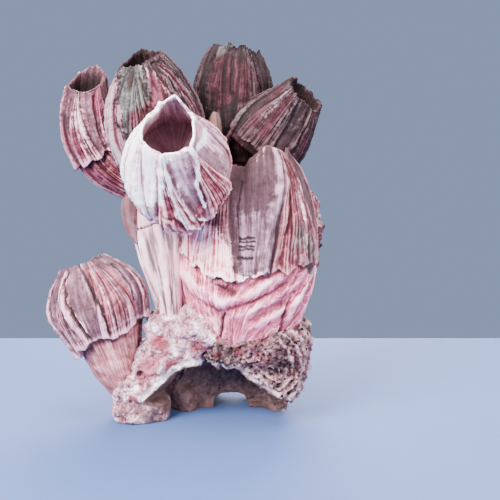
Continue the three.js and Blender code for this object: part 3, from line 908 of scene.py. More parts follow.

# The upper barnacles
# Four more shells crowd the top, each cemented to its neighbours by its root. They are older and
# darker, partly in their own colour and partly with painted shade on the ones at the back, and
# their mouths are painted near black as shade: ribs of dull cream stand between grooves of maroon,
# and one has a bald, grey patch.
FANNED_GROOVES = [
    [(30 + 5 * k, 0.97), (38 + 10 * k, 0.7), (44 + 12 * k, 0.35)] for k in range(6)
]
UPPER_MIDDLE = {
    "root": [-3, 4, 88],
    "bend": [-13, -2, 121],
    "mouth": [-16.5, -4, 143.5],
    "front": [0, -1, 0],
    "girth": [[0, 13, 12], [0.3, 17.3, 16], [0.55, 18.3, 17], [0.8, 14.8, 14], [1, 8.6, 8.4]],
    "plates": [
        [-70, 24],
        [-14, 22],
        [48, 30],
        [112, 24],
        [172, 24],
        [232, 24],
    ],
    "ledge": 0.12,
    "ledge_step": [[0, 0.5]],
    "cup_ribs": 0.6,
    "rim": [
        [0, -0.6, -1.5],
        [40, 1.5, -1.0],
        [90, 2.0, -0.5],
        [150, 3.5, -0.5],
        [190, 4.5, -0.5],
        [230, 1.5, 0],
        [280, -0.6, 0.6],
        [320, -0.8, -0.6],
    ],
    "chips": 0.6,
    "floor": 0.35,
    "seed": 41,
    "rib_spacing": 1.7,
    "strokes": {
        "ridges": [([(14, 0.98), (10, 0.85), (2, 0.7)], 1.0, 0.8)],
        "dents": [
            ([(-24, 0.96), (-20, 0.86), (-12, 0.76)], 4.5, 0.9),
            ([(-6, 0.9), (2, 0.78), (10, 0.72)], 0.5, 1.1),
            ([(-2, 0.64), (2, 0.62)], 4.2, 3.0),
        ]
        + [(groove, 0.4, 1.1) for groove in FANNED_GROOVES],
        # These dark strokes are painted shade in the crater and the fanned grooves.
        "dark": [([(-2, 0.64), (2, 0.62)], 3.2, 0.5)]
        + [(groove, 0.35, 0.7) for groove in FANNED_GROOVES],
        "pale": [
            ([(-72, 0.85), (-62, 0.58), (-54, 0.4)], 4.6, 1.2),
            ([(-44, 0.50), (-36, 0.36)], 3.0, 0.7),
            ([(-46, 0.74), (-40, 0.60)], 1.6, 0.6),
            ([(26, 0.93), (34, 0.74), (42, 0.5)], 0.9, 0.5),
            ([(44, 0.90), (56, 0.66)], 0.9, 0.4),
            ([(12, 0.97), (10, 0.90)], 0.8, 0.6),
        ],
        "crimson": [
            ([(20, 0.90), (18, 0.75), (14, 0.66)], 2.2, 1.0),
            ([(32, 0.84), (30, 0.70), (24, 0.62)], 1.6, 0.8),
            ([(-46, 0.55), (-38, 0.45)], 2.0, 0.7),
            ([(0, 0.66)], 4.4, 1.0),
            ([(-24, 0.66), (-14, 0.58), (-10, 0.45)], 2.6, 0.8),
            ([(50, 0.9), (62, 0.65), (70, 0.4)], 1.6, 0.9),
            ([(-84, 0.85), (-76, 0.6), (-66, 0.4)], 1.4, 0.8),
        ],
        "grey": [
            ([(-30, 0.97), (-22, 0.88), (-12, 0.76)], 5.4, 1.4),
            ([(-42, 0.88), (-36, 0.74), (-30, 0.58)], 2.6, 0.9),
            ([(60, 0.9), (70, 0.7)], 3.0, 0.6),
        ],
    },
}
UPPER_RIGHT = {
    "root": [27, 15, 108],
    "bend": [37, 14, 120],
    "mouth": [45, 14, 131],
    "front": [0, -1, 0],
    "girth": [[0, 14.5, 13.5], [0.35, 15.2, 14.2], [0.7, 12.5, 12], [1, 9, 8.6]],
    "plates": [
        [-72, 20],
        [-14, 30],
        [58, 30],
        [120, 22],
        [172, 22],
        [228, 22],
    ],
    "ledge": 0.08,
    "ledge_step": [[0, 0.2]],
    "cup_ribs": 0.4,
    "rim": [
        [-40, 0.8, -1.0],
        [0, -1.8, 0.2],
        [60, -1.8, 0.5],
        [110, 2.0, 1.0],
        [150, 3.8, 0.8],
        [190, 4.5, 0.2],
        [230, 4.0, -1.0],
        [290, 3.0, -2.0],
    ],
    "chips": 0.8,
    "taper": 0.4,
    "floor": 0.3,
    "seed": 61,
    "ribs": 0.8,
    "rib_spacing": 1.7,
    "strokes": {
        "ridges": [([(-8, 0.97), (-4, 0.75), (0, 0.5)], 0.9, 0.9)],
        "dents": [([(20, 0.95), (14, 0.6), (8, 0.35)], 2.4, 1.0), ([(38, 0.9), (40, 0.5)], 0.5, 0.8)],
        "crimson": [
            ([(-44, 0.85), (-38, 0.6), (-30, 0.3)], 1.8, 1.0),
            ([(-16, 0.9), (-14, 0.6), (-10, 0.3)], 1.6, 1.0),
            ([(50, 0.6), (56, 0.3)], 2.2, 0.9),
        ],
        "pale": [([(-28, 0.9), (-24, 0.5)], 1.2, 0.5), ([(-2, 0.97), (2, 0.7)], 0.9, 0.6)],
        "grey": [([(-60, 0.4), (-56, 0.25)], 2.4, 0.7)],
        "lilac": [([(16, 0.9), (10, 0.6)], 2.6, 0.7)],
    },
}
UPPER_BACK = {
    "root": [18, 24, 104],
    "bend": [17.5, 24, 130],
    "mouth": [19.5, 27, 149],
    "front": [0, -1, 0],
    "girth": [
        [0, 12.5, 12],
        [0.3, 15.4, 14],
        [0.62, 15.4, 14],
        [0.85, 12.6, 11.5],
        [1, 9.6, 8.6],
    ],
    "plates": [
        [-74, 22],
        [-30, 18],
        [26, 24],
        [84, 22],
        [150, 26],
        [218, 26],
    ],
    "ledge": 0.2,
    "ledge_step": [[0, 0.6]],
    "cup_ribs": 0.4,
    "rim": [
        [-80, -1.5, 1.5],
        [-40, 0.5, 0.5],
        [-10, 1.0, -1.0],
        [20, 0.0, -1.0],
        [60, -0.5, 0.5],
        [100, -2.5, 1.5],
        [180, 0.5, -1.0],
        [240, -0.5, -0.5],
    ],
    "chips": 1.6,
    "taper": 0.45,
    "floor": 0.35,
    "seed": 81,
    "ribs": 0.45,
    "rib_spacing": 1.8,
    "strokes": {
        "dents": [
            ([(-6, 0.98), (-4, 0.8), (-2, 0.55)], 0.8, 1.0),
            ([(34, 0.95), (44, 0.7), (52, 0.5)], 0.5, 1.0),
            ([(-44, 0.9), (-56, 0.7), (-64, 0.5)], 0.5, 0.9),
        ],
        # These dark strokes are painted shade in two dents.
        "dark": [([(-5, 0.85), (-2, 0.6)], 0.8, 0.4), ([(34, 0.95), (52, 0.5)], 0.4, 0.6)],
        "crimson": [
            ([(-26, 0.80), (-22, 0.68), (-18, 0.54)], 3.4, 2.3),
            ([(12, 0.82), (14, 0.7), (10, 0.56)], 2.8, 2.2),
            ([(40, 0.75), (46, 0.55)], 1.6, 0.7),
        ],
        "grey": [([(-28, 0.97), (-26, 0.86)], 2.4, 0.9), ([(20, 0.95), (26, 0.85)], 2.2, 0.7)],
    },
}
UPPER_LEFT = {
    "root": [-19.6, 8, 95.5],
    "bend": [-43, 5, 108],
    "mouth": [-38.4, 3, 136.5],
    "front": [0, -1, 0],
    "girth": [[0, 7.5, 8], [0.3, 9.6, 10.5], [0.55, 10.2, 11], [0.8, 9.4, 10], [1, 7.2, 7.2]],
    "plates": [
        [-75, 20],
        [-18, 26],
        [44, 24],
        [104, 22],
        [164, 22],
        [224, 24],
    ],
    "ledge": 0.42,
    "ledge_step": [[0, 1.0]],
    "cup_ribs": 1,
    "rim": [
        [-70, -3.0, 0.8],
        [-30, -4.0, 0.8],
        [10, -3.6, 0.4],
        [50, -0.5, -0.6],
        [100, 3.5, -1.4],
        [150, 6.0, -1.5],
        [190, 5.4, -1.0],
        [220, 2.5, -0.5],
        [250, -0.5, 0],
    ],
    "chips": 0.4,
    "floor": 0.5,
    "seed": 101,
    "rib_spacing": 1.8,
    "strokes": {
        "dents": [
            ([(-44, 0.93), (-46, 0.75), (-44, 0.52)], 0.5, 0.8),
            ([(30, 0.95), (28, 0.7), (24, 0.45)], 0.5, 0.8),
        ],
        "dark": [([(-70, 0.82)], 1.0, 0.9)],
        "crimson": [
            ([(-50, 0.40), (-30, 0.28), (-20, 0.2)], 3.4, 0.9),
            ([(-30, 0.7), (-28, 0.5)], 1.6, 0.9),
            ([(40, 0.95), (44, 0.7), (40, 0.45)], 2.6, 0.9),
            ([(-62, 0.8), (-58, 0.55)], 1.4, 0.8),
        ],
        "pale": [([(-14, 0.85), (-8, 0.55)], 2.2, 0.7)],
    },
}
DULL_ROSE = dict(ROSE)
DULL_ROSE.update(
    {
        "wall": tones(
            (0.024, 0.006, 0.009), (0.100, 0.026, 0.038), (0.27, 0.092, 0.128), (0.84, 0.50, 0.58)
        ),
        "strip": tones(
            (0.042, 0.015, 0.021), (0.11, 0.042, 0.056), (0.20, 0.088, 0.118), (0.44, 0.25, 0.32)
        ),
        "cup": tones(
            (0.045, 0.008, 0.012), (0.16, 0.030, 0.040), (0.38, 0.11, 0.14), (0.78, 0.44, 0.48)
        ),
        "grey": tones(
            (0.05, 0.040, 0.042), (0.15, 0.135, 0.135), (0.27, 0.26, 0.26), (0.46, 0.46, 0.46)
        ),
        "pale": tones(
            (0.24, 0.06, 0.09), (0.60, 0.24, 0.34), (0.92, 0.54, 0.66), (0.97, 0.80, 0.90)
        ),
        "crimson": tones(
            (0.03, 0.003, 0.007), (0.10, 0.012, 0.024), (0.20, 0.034, 0.064), (0.40, 0.13, 0.20)
        ),
        # The inner tones are near black: painted shade in the mouths of the upper shells.
        "inner": tones(
            (0.02, 0.008, 0.008), (0.04, 0.018, 0.018), (0.07, 0.032, 0.032), (0.12, 0.06, 0.06)
        ),
    }
)


def darkened_and_shaded(palette, share, marked, hollow_shade):
    """The same colours in a darker shell, partly its own tone and partly painted shade: shares kept
    by its wall, its marks and its hollow.
    """
    darker = {"dirt_and_shade": palette["dirt_and_shade"]}
    kept_by = {"wall": share, "strip": share, "cup": share, "inner": hollow_shade}
    for part, steps in palette.items():
        if part != "dirt_and_shade":
            kept = kept_by.get(part, marked)
            darker[part] = [tuple(kept * c for c in tone[:3]) + (1.0,) for tone in steps]
    return darker


# The darker shares are partly each shell's own tone and partly painted shade on the shells at the
# back; the hollow shares darken the mouths further with painted shade.
for node, shell, share, marked, hollow_shade in (
    ("upper_middle_barnacle", UPPER_MIDDLE, 0.115, 0.30, 0.6),
    ("upper_right_barnacle", UPPER_RIGHT, 0.10, 0.16, 0.3),
    ("upper_back_barnacle", UPPER_BACK, 0.07, 0.12, 0.3),
    ("upper_left_barnacle", UPPER_LEFT, 0.60, 0.56, 0.2),
):
    palette = darkened_and_shaded(DULL_ROSE, share, marked, hollow_shade)
    finish = shell_finish(node + "_chalk", palette, speckle=1.0, shine=0.18)
    finished_skin(node + "_shell", node, grow_shell(shell), finish)

# The lower left barnacle
# This one grew from the foot on a narrow, smooth, salmon cone and opened into six broad plates with
# deep gaps between them, darkened with painted shade.
LOWER_LEFT = {
    "root": [-24, 5, 6],
    "bend": [-34.5, 3, 40],
    "mouth": [-42.5, 5, 63],
    "front": [0, -1, 0],
    "girth": [
        [0, 5, 6],
        [0.2, 10, 10.5],
        [0.4, 13.2, 13.5],
        [0.68, 19.4, 18],
        [0.86, 17, 16],
        [1, 10.5, 11],
    ],
    "plates": [
        [-74, 20],
        [-32, 16],
        [28, 26],
        [92, 26],
        [158, 26],
        [224, 24],
    ],
    "ledge": 0.45,
    "ledge_line": [
        [-90, 0.42],
        [-58, 0.39],
        [-42, 0.45],
        [-10, 0.49],
        [25, 0.47],
        [60, 0.52],
        [180, 0.45],
    ],
    "ledge_step": [[0, 1.8]],
    "cup_ribs": 0,
    "rim": [
        [-80, 0.5, -1.0],
        [-45, 1.2, -1.5],
        [-20, 0.8, -2.0],
        [15, 0.6, -2.0],
        [60, 1.5, -1.5],
        [120, 0.5, -1.5],
        [180, -1.0, -2.0],
        [240, 0, -1.0],
    ],
    "chips": 0.5,
    "floor": 0.5,
    "seed": 121,
    "ribs": 0.65,
    "rib_spacing": 1.9,
    "strokes": {
        "ridges": [
            ([(-34, 0.98), (-32, 0.8), (-22, 0.62)], 1.0, 0.8),
            ([(4, 0.98), (6, 0.8), (8, 0.6)], 0.9, 0.7),
        ],
        "dents": [
            ([(-30, 1.0), (-26, 0.80), (-16, 0.58), (-14, 0.50)], 0.6, 1.3),
            ([(2, 1.0), (11, 0.81), (14, 0.6), (14, 0.50)], 0.6, 1.3),
            ([(-66, 0.95), (-62, 0.75), (-52, 0.55)], 0.6, 1.3),
            ([(62, 0.9), (58, 0.65)], 0.6, 1.2),
        ],
        # These dark strokes are painted shade in the gaps between the plates.
        "dark": [
            ([(-30, 1.0), (-26, 0.80), (-16, 0.58), (-14, 0.48)], 0.5, 0.7),
            ([(2, 1.0), (11, 0.81), (14, 0.6), (14, 0.46)], 0.5, 0.7),
            ([(-66, 0.95), (-62, 0.75), (-52, 0.55)], 0.5, 0.8),
        ],
        "pale": [
            ([(-24, 0.8), (-12, 0.56)], 1.0, 0.6),
            ([(-78, 0.85), (-74, 0.6)], 1.8, 0.7),
            ([(16, 0.95), (22, 0.75), (26, 0.55)], 0.7, 0.6),
        ],
        "crimson": [
            ([(12, 0.95), (17, 0.75), (19, 0.55)], 1.2, 0.9),
            ([(26, 0.9), (34, 0.6)], 2.0, 0.8),
            ([(44, 0.9), (52, 0.6)], 1.4, 0.8),
            ([(-80, 0.5), (-60, 0.45)], 1.5, 0.7),
            ([(-42, 0.9), (-40, 0.6)], 1.0, 0.7),
        ],
    },
}
SALMON = dict(ROSE)
SALMON.update(
    {
        "wall": tones(
            (0.022, 0.006, 0.008), (0.095, 0.030, 0.042), (0.23, 0.092, 0.125), (0.60, 0.34, 0.43)
        ),
        "strip": tones(
            (0.022, 0.009, 0.013), (0.075, 0.030, 0.043), (0.16, 0.075, 0.105), (0.36, 0.21, 0.28)
        ),
        "cup": tones(
            (0.11, 0.026, 0.030), (0.27, 0.085, 0.098), (0.44, 0.17, 0.19), (0.66, 0.34, 0.37)
        ),
    }
)
lower_finish = shell_finish("lower_salmon_and_cream", SALMON)
lower = grow_shell(LOWER_LEFT)
finished_skin("lower_left_barnacle_shell", "lower_left_barnacle", lower, lower_finish)

# The old column and the broken plates
# A dead shell stands on end as a pale, fluted column between the foot and the upper barnacles. It
# has lost its mouth and most of its colour. A thin flake of its wall sticks out at the left, and a
# small brown plate stands in the gap above.
CAP_ROWS = 6
FEWEST_LINES = 48
COLUMN = {
    "root": [-5.5, 6, 30],
    "bend": [-8, 4, 62],
    "mouth": [-13, 5, 93],
    "front": [0, -1, 0],
    "girth": [[0, 8.0, 11], [0.25, 5.8, 11], [0.6, 10.2, 11.5], [0.85, 11.2, 12], [1, 9, 11]],
    "flutes": 9,
    "flute": 0.45,
    "seed": 141,
    "cracks": [
        ([(-60, 0.78), (-20, 0.8), (10, 0.83), (40, 0.86)], 0.3, 0.8),
        ([(-40, 0.9), (-28, 0.6), (-20, 0.3), (-14, 0.1)], 0.35, 0.35),
        ([(8, 0.75), (12, 0.5), (6, 0.25)], 0.35, 0.3),
        ([(-66, 0.7), (-60, 0.5)], 0.35, 0.3),
    ],
}
FLAKE = {
    "root": [-19.8, -2, 73],
    "bend": [-23.8, -3, 83],
    "mouth": [-22.3, -2, 92.5],
    "front": [0, -1, 0],
    "girth": [[0, 0.7, 0.8], [0.25, 2.2, 1.5], [0.6, 3.0, 1.7], [0.85, 2.7, 1.5], [1, 1.2, 1]],
    "flutes": 4,
    "flute": 0.2,
    "seed": 151,
}
BEAK = {
    "root": [10.9, 1, 110],
    "bend": [10.6, 1.5, 118],
    "mouth": [11.2, 3, 124.5],
    "front": [0, -1, 0],
    "girth": [[0, 3.8, 2.2], [0.5, 3.1, 1.7], [0.85, 2.0, 1.1], [1, 1.0, 0.7]],
    "flutes": 3,
    "flute": 0.12,
    "seed": 161,
}


def grow_column(stem):
    """Rows of points of a closed stem, fluted along its length."""
    length = np.linalg.norm(np.subtract(stem["mouth"], stem["root"]))
    girth = max(row[1] for row in stem["girth"])
    lines = max(FEWEST_LINES, int(2 * math.pi * girth / LINE_SPACING))
    rows = int(length / ROW_SPACING)
    cap = np.sin(np.linspace(0, math.pi / 2, CAP_ROWS + 2))[1:-1]
    s = np.concatenate([np.zeros(CAP_ROWS), np.linspace(0, 1, rows), np.ones(CAP_ROWS)])[:, None]
    shrink = np.concatenate([cap, np.ones(rows), cap[::-1]])[:, None]
    angle = (np.arange(lines) * 2 * math.pi / lines)[None, :]
    lay = round_foot(angle + 0 * s, girth, s * length)
    sway = rough(lay * [0.15, 0.15, 0.05], stem["seed"], 3)
    flute = np.cos(angle * stem["flutes"] + 1.6 * sway)
    fine = rough(lay * [0.9, 0.9, 0.06], stem["seed"] + 3, 3)
    cracks = strokes_on(stem, angle + 0 * s, s + 0 * angle, stem.get("cracks", ()))
    out = stem["flute"] * (flute + 0.7 * fine + 1.2 * sway) - cracks
    middle, side, front, along = on_axis(stem, s)
    wide = np.maximum(read_column(stem["girth"], 1, s) + out, NARROWEST) * shrink
    deep = np.maximum(read_column(stem["girth"], 2, s) + out, NARROWEST) * shrink
    points = middle + side * (wide * np.sin(angle))[..., None]
    points = points + front * (deep * np.cos(angle))[..., None]
    # The cracks are also painted dark, as shade and dirt in them.
    return points, {"rib": 0.5 + 0.5 * flute, "dark": cracks * 1.5}, lay


def old_chalk_finish(name, tones):
    """Bleached chalk with lengthwise grey-green threads, pink stains, specks of dirt and painted
    shade in the cracks.
    """
    material, shader, paint = new_paint(name)
    lay = paint.attribute("lay", "Vector")
    where = paint.node("ShaderNodeTexCoord", None, None, "Object")
    thread = paint.noise(paint.stretched(lay, (0.9, 0.9, 0.06)), 1.0, 5.0, 0.7)
    cloud = paint.noise(where, 55.0, 5.0, 0.6)
    blot = paint.noise(where, 130.0, 4.0, 0.6)
    speck = paint.noise(where, 1100.0, 2.0, 0.6)
    worn = thread + (paint.attribute("rib") - 0.5) * 0.22 + (cloud - 0.5) * 0.5
    skin = worn.between(0.36, 0.56).mix(tones["thread"], tones["pale"])
    skin = (cloud.between(0.5, 0.64) * 0.7).mix(skin, tones["stain"])
    skin = (blot.between(0.55, 0.75) * 0.7).mix(skin, tones["bright"])
    # This dark mix is dirt in specks and painted shade along the cracks.
    dirt_and_shade = (paint.attribute("dark") + (speck - 0.62).clamp() * 2.0).clamp()
    skin = dirt_and_shade.mix(skin, tones["dirt_and_shade"])
    height = thread * 0.5 + blot * 0.3 + speck * 0.2
    feed(paint, shader, skin, 0.75 + cloud * 0.15, height, 0.4)
    shader.inputs["Specular IOR Level"].default_value = 0.3
    return material


CHALK = {
    "thread": (0.17, 0.105, 0.11, 1.0),
    "pale": (0.84, 0.52, 0.60, 1.0),
    "stain": (0.60, 0.21, 0.27, 1.0),
    "bright": (0.96, 0.88, 0.92, 1.0),
    "dirt_and_shade": (0.03, 0.014, 0.016, 1.0),
}
FADED_ROSE = {
    "thread": (0.045, 0.019, 0.022, 1.0),
    "pale": (0.19, 0.090, 0.105, 1.0),
    "stain": (0.12, 0.04, 0.048, 1.0),
    "bright": (0.34, 0.20, 0.23, 1.0),
    "dirt_and_shade": (0.03, 0.012, 0.014, 1.0),
}
BROWN = {
    "thread": (0.07, 0.035, 0.03, 1.0),
    "pale": (0.16, 0.085, 0.075, 1.0),
    "stain": (0.10, 0.05, 0.045, 1.0),
    "bright": (0.22, 0.13, 0.12, 1.0),
    "dirt_and_shade": (0.03, 0.015, 0.012, 1.0),
}
column_finish = old_chalk_finish("old_column_chalk", CHALK)
finished_skin("pale_stem_column", "pale_stem", grow_column(COLUMN), column_finish)
flake_finish = old_chalk_finish("flake_faded_rose", FADED_ROSE)
finished_skin("side_flake_plate", "side_flake", grow_column(FLAKE), flake_finish)
beak_finish = old_chalk_finish("beak_brown_horn", BROWN)
finished_skin("beak_plate_horn", "beak_plate", grow_column(BEAK), beak_finish)

# The foot and the crust
# Everything stands on what is left of an older, larger barnacle: a porous wall with a vault broken
# open under it. The foot at its left is bleached smooth, and the crust at its right is riddled with
# the holes of boring sponges and worms. The underside is worn level where it stands.
BOXY = 2.8
CRUST_LUMPS = [
    [[29, 7, 24], [20, 18, 16.5]],
    [[25.5, 6, 9], [15.5, 16, 10]],
    [[27, -3, 32], [22, 12.5, 9.5]],
    [[8, 21, 12], [20, 15, 20]],
    [[37, 6, 34], [14, 15, 8]],
    [[38, -4, 18], [8, 8, 10]],
]
BACK_LUMPS = [[[36, 24, 73], [19.5, 13, 23]]]
FOOT_LUMPS = [
    [[-22, 0, 4], [9.5, 9.5, 5.5]],
    [[-16, 2, 4], [8.5, 8.5, 6]],
    [[-19.5, 0, 11], [10.5, 9, 9]],
    [[-14.5, -1, 20], [9.5, 8.5, 9]],
    [[-10.5, -2, 28], [9.5, 8.5, 9]],
    [[-1, -4, 30], [8.5, 8, 8.5]],
    [[-7, -1, 37], [11, 9, 9]],
    [[4, -3.5, 39], [10.5, 9.5, 9]],
]
VAULT = [
    [-7.0, 0.0],
    [-8.5, 6.0],
    [-17.2, 9.5],
    [-10.9, 15.5],
    [-4.8, 20.8],
    [-0.8, 23.8],
    [3.9, 24.3],
    [11.1, 22.2],
    [19.0, 24.0],
    [25.0, 18.4],
    [35.0, 12.4],
    [41.1, 9.5],
    [39.5, 0.0],
]
VAULT_FRONT = -45.0
VAULT_DEPTHS = (-7.0, 3.0, 14.0)
SLAB_HALF = 90.0
SLAB_DEPTH = 60.0
LUMP_VOXEL = 1.0
CRUST_VOXEL = 0.47


def boxy_lump(middle, size):
    """A rounded block as rows of points from pole to pole."""
    rise = np.linspace(-math.pi / 2, math.pi / 2, 41)[1:-1, None]
    turn = np.linspace(0, 2 * math.pi, 72, endpoint=False)[None, :]
    way = np.stack(
        [np.cos(rise) * np.cos(turn), np.cos(rise) * np.sin(turn), np.sin(rise) + 0 * turn], -1
    )
    way = way / (np.abs(way) ** BOXY).sum(-1, keepdims=True) ** (1 / BOXY)
    return np.array(middle) + way * size


def joined_lumps(name, lumps):
    """One mesh of overlapping closed lumps, in metres."""
    vertices, faces = [], []
    for middle, size in lumps:
        points = boxy_lump(middle, size)
        start = sum(len(v) for v in vertices)
        vertices.append(placed(with_poles(points)))
        faces += [[start + i for i in face] for face in grid_faces(*points.shape[:2])]
    return linked_mesh(name, np.concatenate(vertices), faces)


def keep_result(piece, modifier):
    """Keep a modifier's result as the piece's plain mesh and remove the modifier."""
    graph = bpy.context.evaluated_depsgraph_get()
    mesh = bpy.data.meshes.new_from_object(piece.evaluated_get(graph))
    piece.modifiers.remove(modifier)
    piece.data = mesh


def finished_modifier(piece, kind, **settings):
    """Change a piece by one modifier, with its settings."""
    modifier = piece.modifiers.new(kind.lower(), kind)
    for name, value in settings.items():
        setattr(modifier, name, value)
    keep_result(piece, modifier)


def arch_at(y):
    """The outline of the vault at a depth: the broken arch in front, narrower towards the back."""
    arch = np.array(VAULT, float)
    middle = arch.mean(0)
    share = np.interp(y, VAULT_DEPTHS, [1.0, 0.88, 0.55])[..., None, None]
    shift = np.interp(y, VAULT_DEPTHS, [0.0, 2.5, 4.0])
    sideways = np.stack([shift, 0 * shift], -1)[..., None, :]
    return middle + (arch - middle) * share + sideways


def vault_cutter():
    """The hollow under the cluster, from its broken arch back to the rear wall."""
    points = []
    for y in (VAULT_FRONT, *VAULT_DEPTHS):
        outline = arch_at(np.array(y))
        outline[:, 1] = np.where(np.array(VAULT)[:, 1] < 1, -6.0, outline[:, 1])
        points.append(np.stack([outline[:, 0], np.full(len(outline), y), outline[:, 1]], -1))
    return closed_grid("vault_cutter", np.stack(points))


def past_arch(points):
    """How far each point lies outside the outline of the vault, less than 0 inside it."""
    arch = arch_at(points[:, 1])
    start, end = arch, np.roll(arch, -1, axis=1)
    where = points[:, None, ::2]
    way = end - start
    share = ((where - start) * way).sum(-1) / (way**2).sum(-1)
    nearest = start + way * np.clip(share, 0, 1)[..., None]
    distance = np.linalg.norm(where - nearest, axis=-1).min(1)
    above = (start[..., 1] > where[..., 1]) != (end[..., 1] > where[..., 1])
    cross = start[..., 0] + (where[..., 1] - start[..., 1]) / (way[..., 1] + 1e-9) * way[..., 0]
    inside = (above & (where[..., 0] < cross)).sum(1) % 2 == 1
    return np.where(inside, -distance, distance)


def mark_crust(piece, layers, stains):
    """Mark the skin of the vault for painted shade, its broken edge, the layers of old wall, and the
    red stains.
    """
    mesh = piece.data
    points = np.zeros(len(mesh.vertices) * 3)
    mesh.vertices.foreach_get("co", points)
    points = points.reshape(-1, 3) / MM + FOOTPRINT_MIDDLE
    distance = past_arch(points)
    wander = rough(points * 0.22, 61, 3)
    x, y, z = points.T
    under = smooth(1.3, 0.5, distance + 0.3 * wander)
    # The low rear of the vault and the worn toe of the foot get the same painted shade as the vault
    # itself.
    behind = smooth(15, 11, z) * smooth(-5, -1, y) * smooth(41, 37, x)
    under = np.maximum(under, behind * smooth(-10, -7, x))
    toe = smooth(-21, -16, x) * smooth(-1, -6, x) * smooth(11, 9, z)
    under = np.maximum(under, toe * (0.75 + 0.5 * wander))
    edge = smooth(0.6, 1.2, distance) * smooth(3.4, 1.8, distance + 0.9 * wander)
    edge = edge * (y < 4) * smooth(8, 11, z)
    # Layers ring the crust's right end and follow the slope above the arch.
    round_right = np.hypot(x - 29, z - 26)
    right = smooth(10, 12, round_right) * smooth(34, 38, x)
    slope = smooth(19, 25, x) * smooth(9, 5, distance) * (1 - right) * smooth(0.5, 2, distance)
    band = right * np.sin(round_right * 2.1 + 2.2 * wander)
    band = band + slope * np.sin(distance * 2.3 + 2.5 * wander)
    stain = np.zeros(len(points))
    for stain_x, stain_z, reach, amount in stains:
        away = np.hypot(x - stain_x + 1.5 * wander, z - stain_z - 1.5 * wander)
        stain = np.maximum(stain, amount * np.exp(-((away / reach) ** 2)))
    marks = {"under": under, "edge": edge, "band": band * layers, "stain": stain}
    for name, values in marks.items():
        layer = mesh.attributes.new(name, "FLOAT", "POINT")
        layer.data.foreach_set("value", values.astype(np.float32))


def slab_below():
    """Everything under the table top, to cut the underside level."""
    corners = ((-1, -1), (1, -1), (1, 1), (-1, 1))
    below = np.array([[(x * SLAB_HALF, y * SLAB_HALF, -SLAB_DEPTH) for x, y in corners]])
    return closed_grid("slab_below", np.concatenate([below, below + [0, 0, SLAB_DEPTH]]))


def node_inputs(tree):
    """The named inputs of the crust's node tree and the sockets that they arrive on."""
    sockets = [("Crust", "NodeSocketGeometry"), ("Finish", "NodeSocketMaterial")]
    sockets += [("Seed", "NodeSocketInt")]
    sizes = ("Knob height", "Fold height", "Layer height", "Pit depth", "Pits per metre")
    sizes += ("Pit reach", "Grains per area", "Grain size")
    sockets += [(size, "NodeSocketFloat") for size in sizes]
    for name, kind in sockets:
        tree.interface.new_socket(name, in_out="INPUT", socket_type=kind)
    source = tree.nodes.new("NodeGroupInput")
    return {name: Paint(tree, source.outputs[name]) for name, kind in sockets}


def pits(paint, given, place, share):
    """Wide pits and the fine bores between them, from 0 to 1, with a share left open."""
    region = paint.noise(place, 60.0, 3.0, 0.5)
    reach = given["Pit reach"] * (region * 1.6 + 0.2)
    holes = []
    for scale in (given["Pits per metre"], given["Pits per metre"] * 2.3):
        cells = {"Vector": place, "Scale": scale}
        away = paint.node("ShaderNodeTexVoronoi", None, cells, "Distance")
        holes.append((1.0 - away.between(reach * 0.5, reach)) * share)
    return holes


def weathered(paint, given):
    """The crust with its folds, knobs, layers and pits, level where it stands on the table."""
    where = paint.node("GeometryNodeInputPosition")
    normal = paint.node("GeometryNodeInputNormal")
    height = paint.node("ShaderNodeSeparateXYZ", None, {0: where}, "Z")
    shift = paint.node("ShaderNodeCombineXYZ", None, {0: given["Seed"], 1: given["Seed"]})
    place = paint.node("ShaderNodeVectorMath", {"operation": "ADD"}, {0: where, 1: shift})
    fold = paint.noise(place, 95.0, 4.0, 0.6)
    knob = paint.noise(place, 420.0, 4.0, 0.6)
    read = {"data_type": "FLOAT"}
    under = paint.node("GeometryNodeInputNamedAttribute", read, {"Name": "under"})
    band = paint.node("GeometryNodeInputNamedAttribute", read, {"Name": "band"})
    crease = paint.math("ABSOLUTE", fold - 0.5) * 3.0 - 0.3
    lumps = crease * given["Fold height"] + (knob - 0.5) * 2.0 * given["Knob height"]
    lumps = lumps * (1.0 - under * 0.75) + band * given["Layer height"]
    pit, bore = pits(paint, given, place, 1.0 - under * 0.6)
    level = height.between(0.0003, 0.0025)
    out = (lumps - (pit + bore * 0.5) * given["Pit depth"]) * level
    offset = paint.node("ShaderNodeVectorMath", {"operation": "SCALE"}, {0: normal, "Scale": out})
    marked = paint.node("GeometryNodeSetPosition", None, {0: given["Crust"], "Offset": offset})
    # The hole mask marks where the finish paints shade into the pits.
    for name, value in (("hole_shade", (pit + bore * 0.7).clamp()), ("knob", knob)):
        settings = {"data_type": "FLOAT", "domain": "POINT"}
        inputs = {"Geometry": marked, "Name": name, "Value": value}
        marked = paint.node("GeometryNodeStoreNamedAttribute", settings, inputs)
    return marked


def grit(paint, given, crust):
    """Small grains strewn over the crust."""
    inputs = {"Mesh": crust, "Density": given["Grains per area"], "Seed": given["Seed"]}
    spots = paint.node("GeometryNodeDistributePointsOnFaces", None, inputs)
    grain = paint.node("GeometryNodeMeshIcoSphere", None, {"Radius": 1.0, "Subdivisions": 1})
    sizes = {2: given["Grain size"] * 0.4, 3: given["Grain size"], "Seed": given["Seed"]}
    size = paint.node("FunctionNodeRandomValue", {"data_type": "FLOAT"}, sizes, 1)
    inputs = {"Points": spots, "Instance": grain, "Scale": size}
    return paint.node("GeometryNodeInstanceOnPoints", None, inputs)


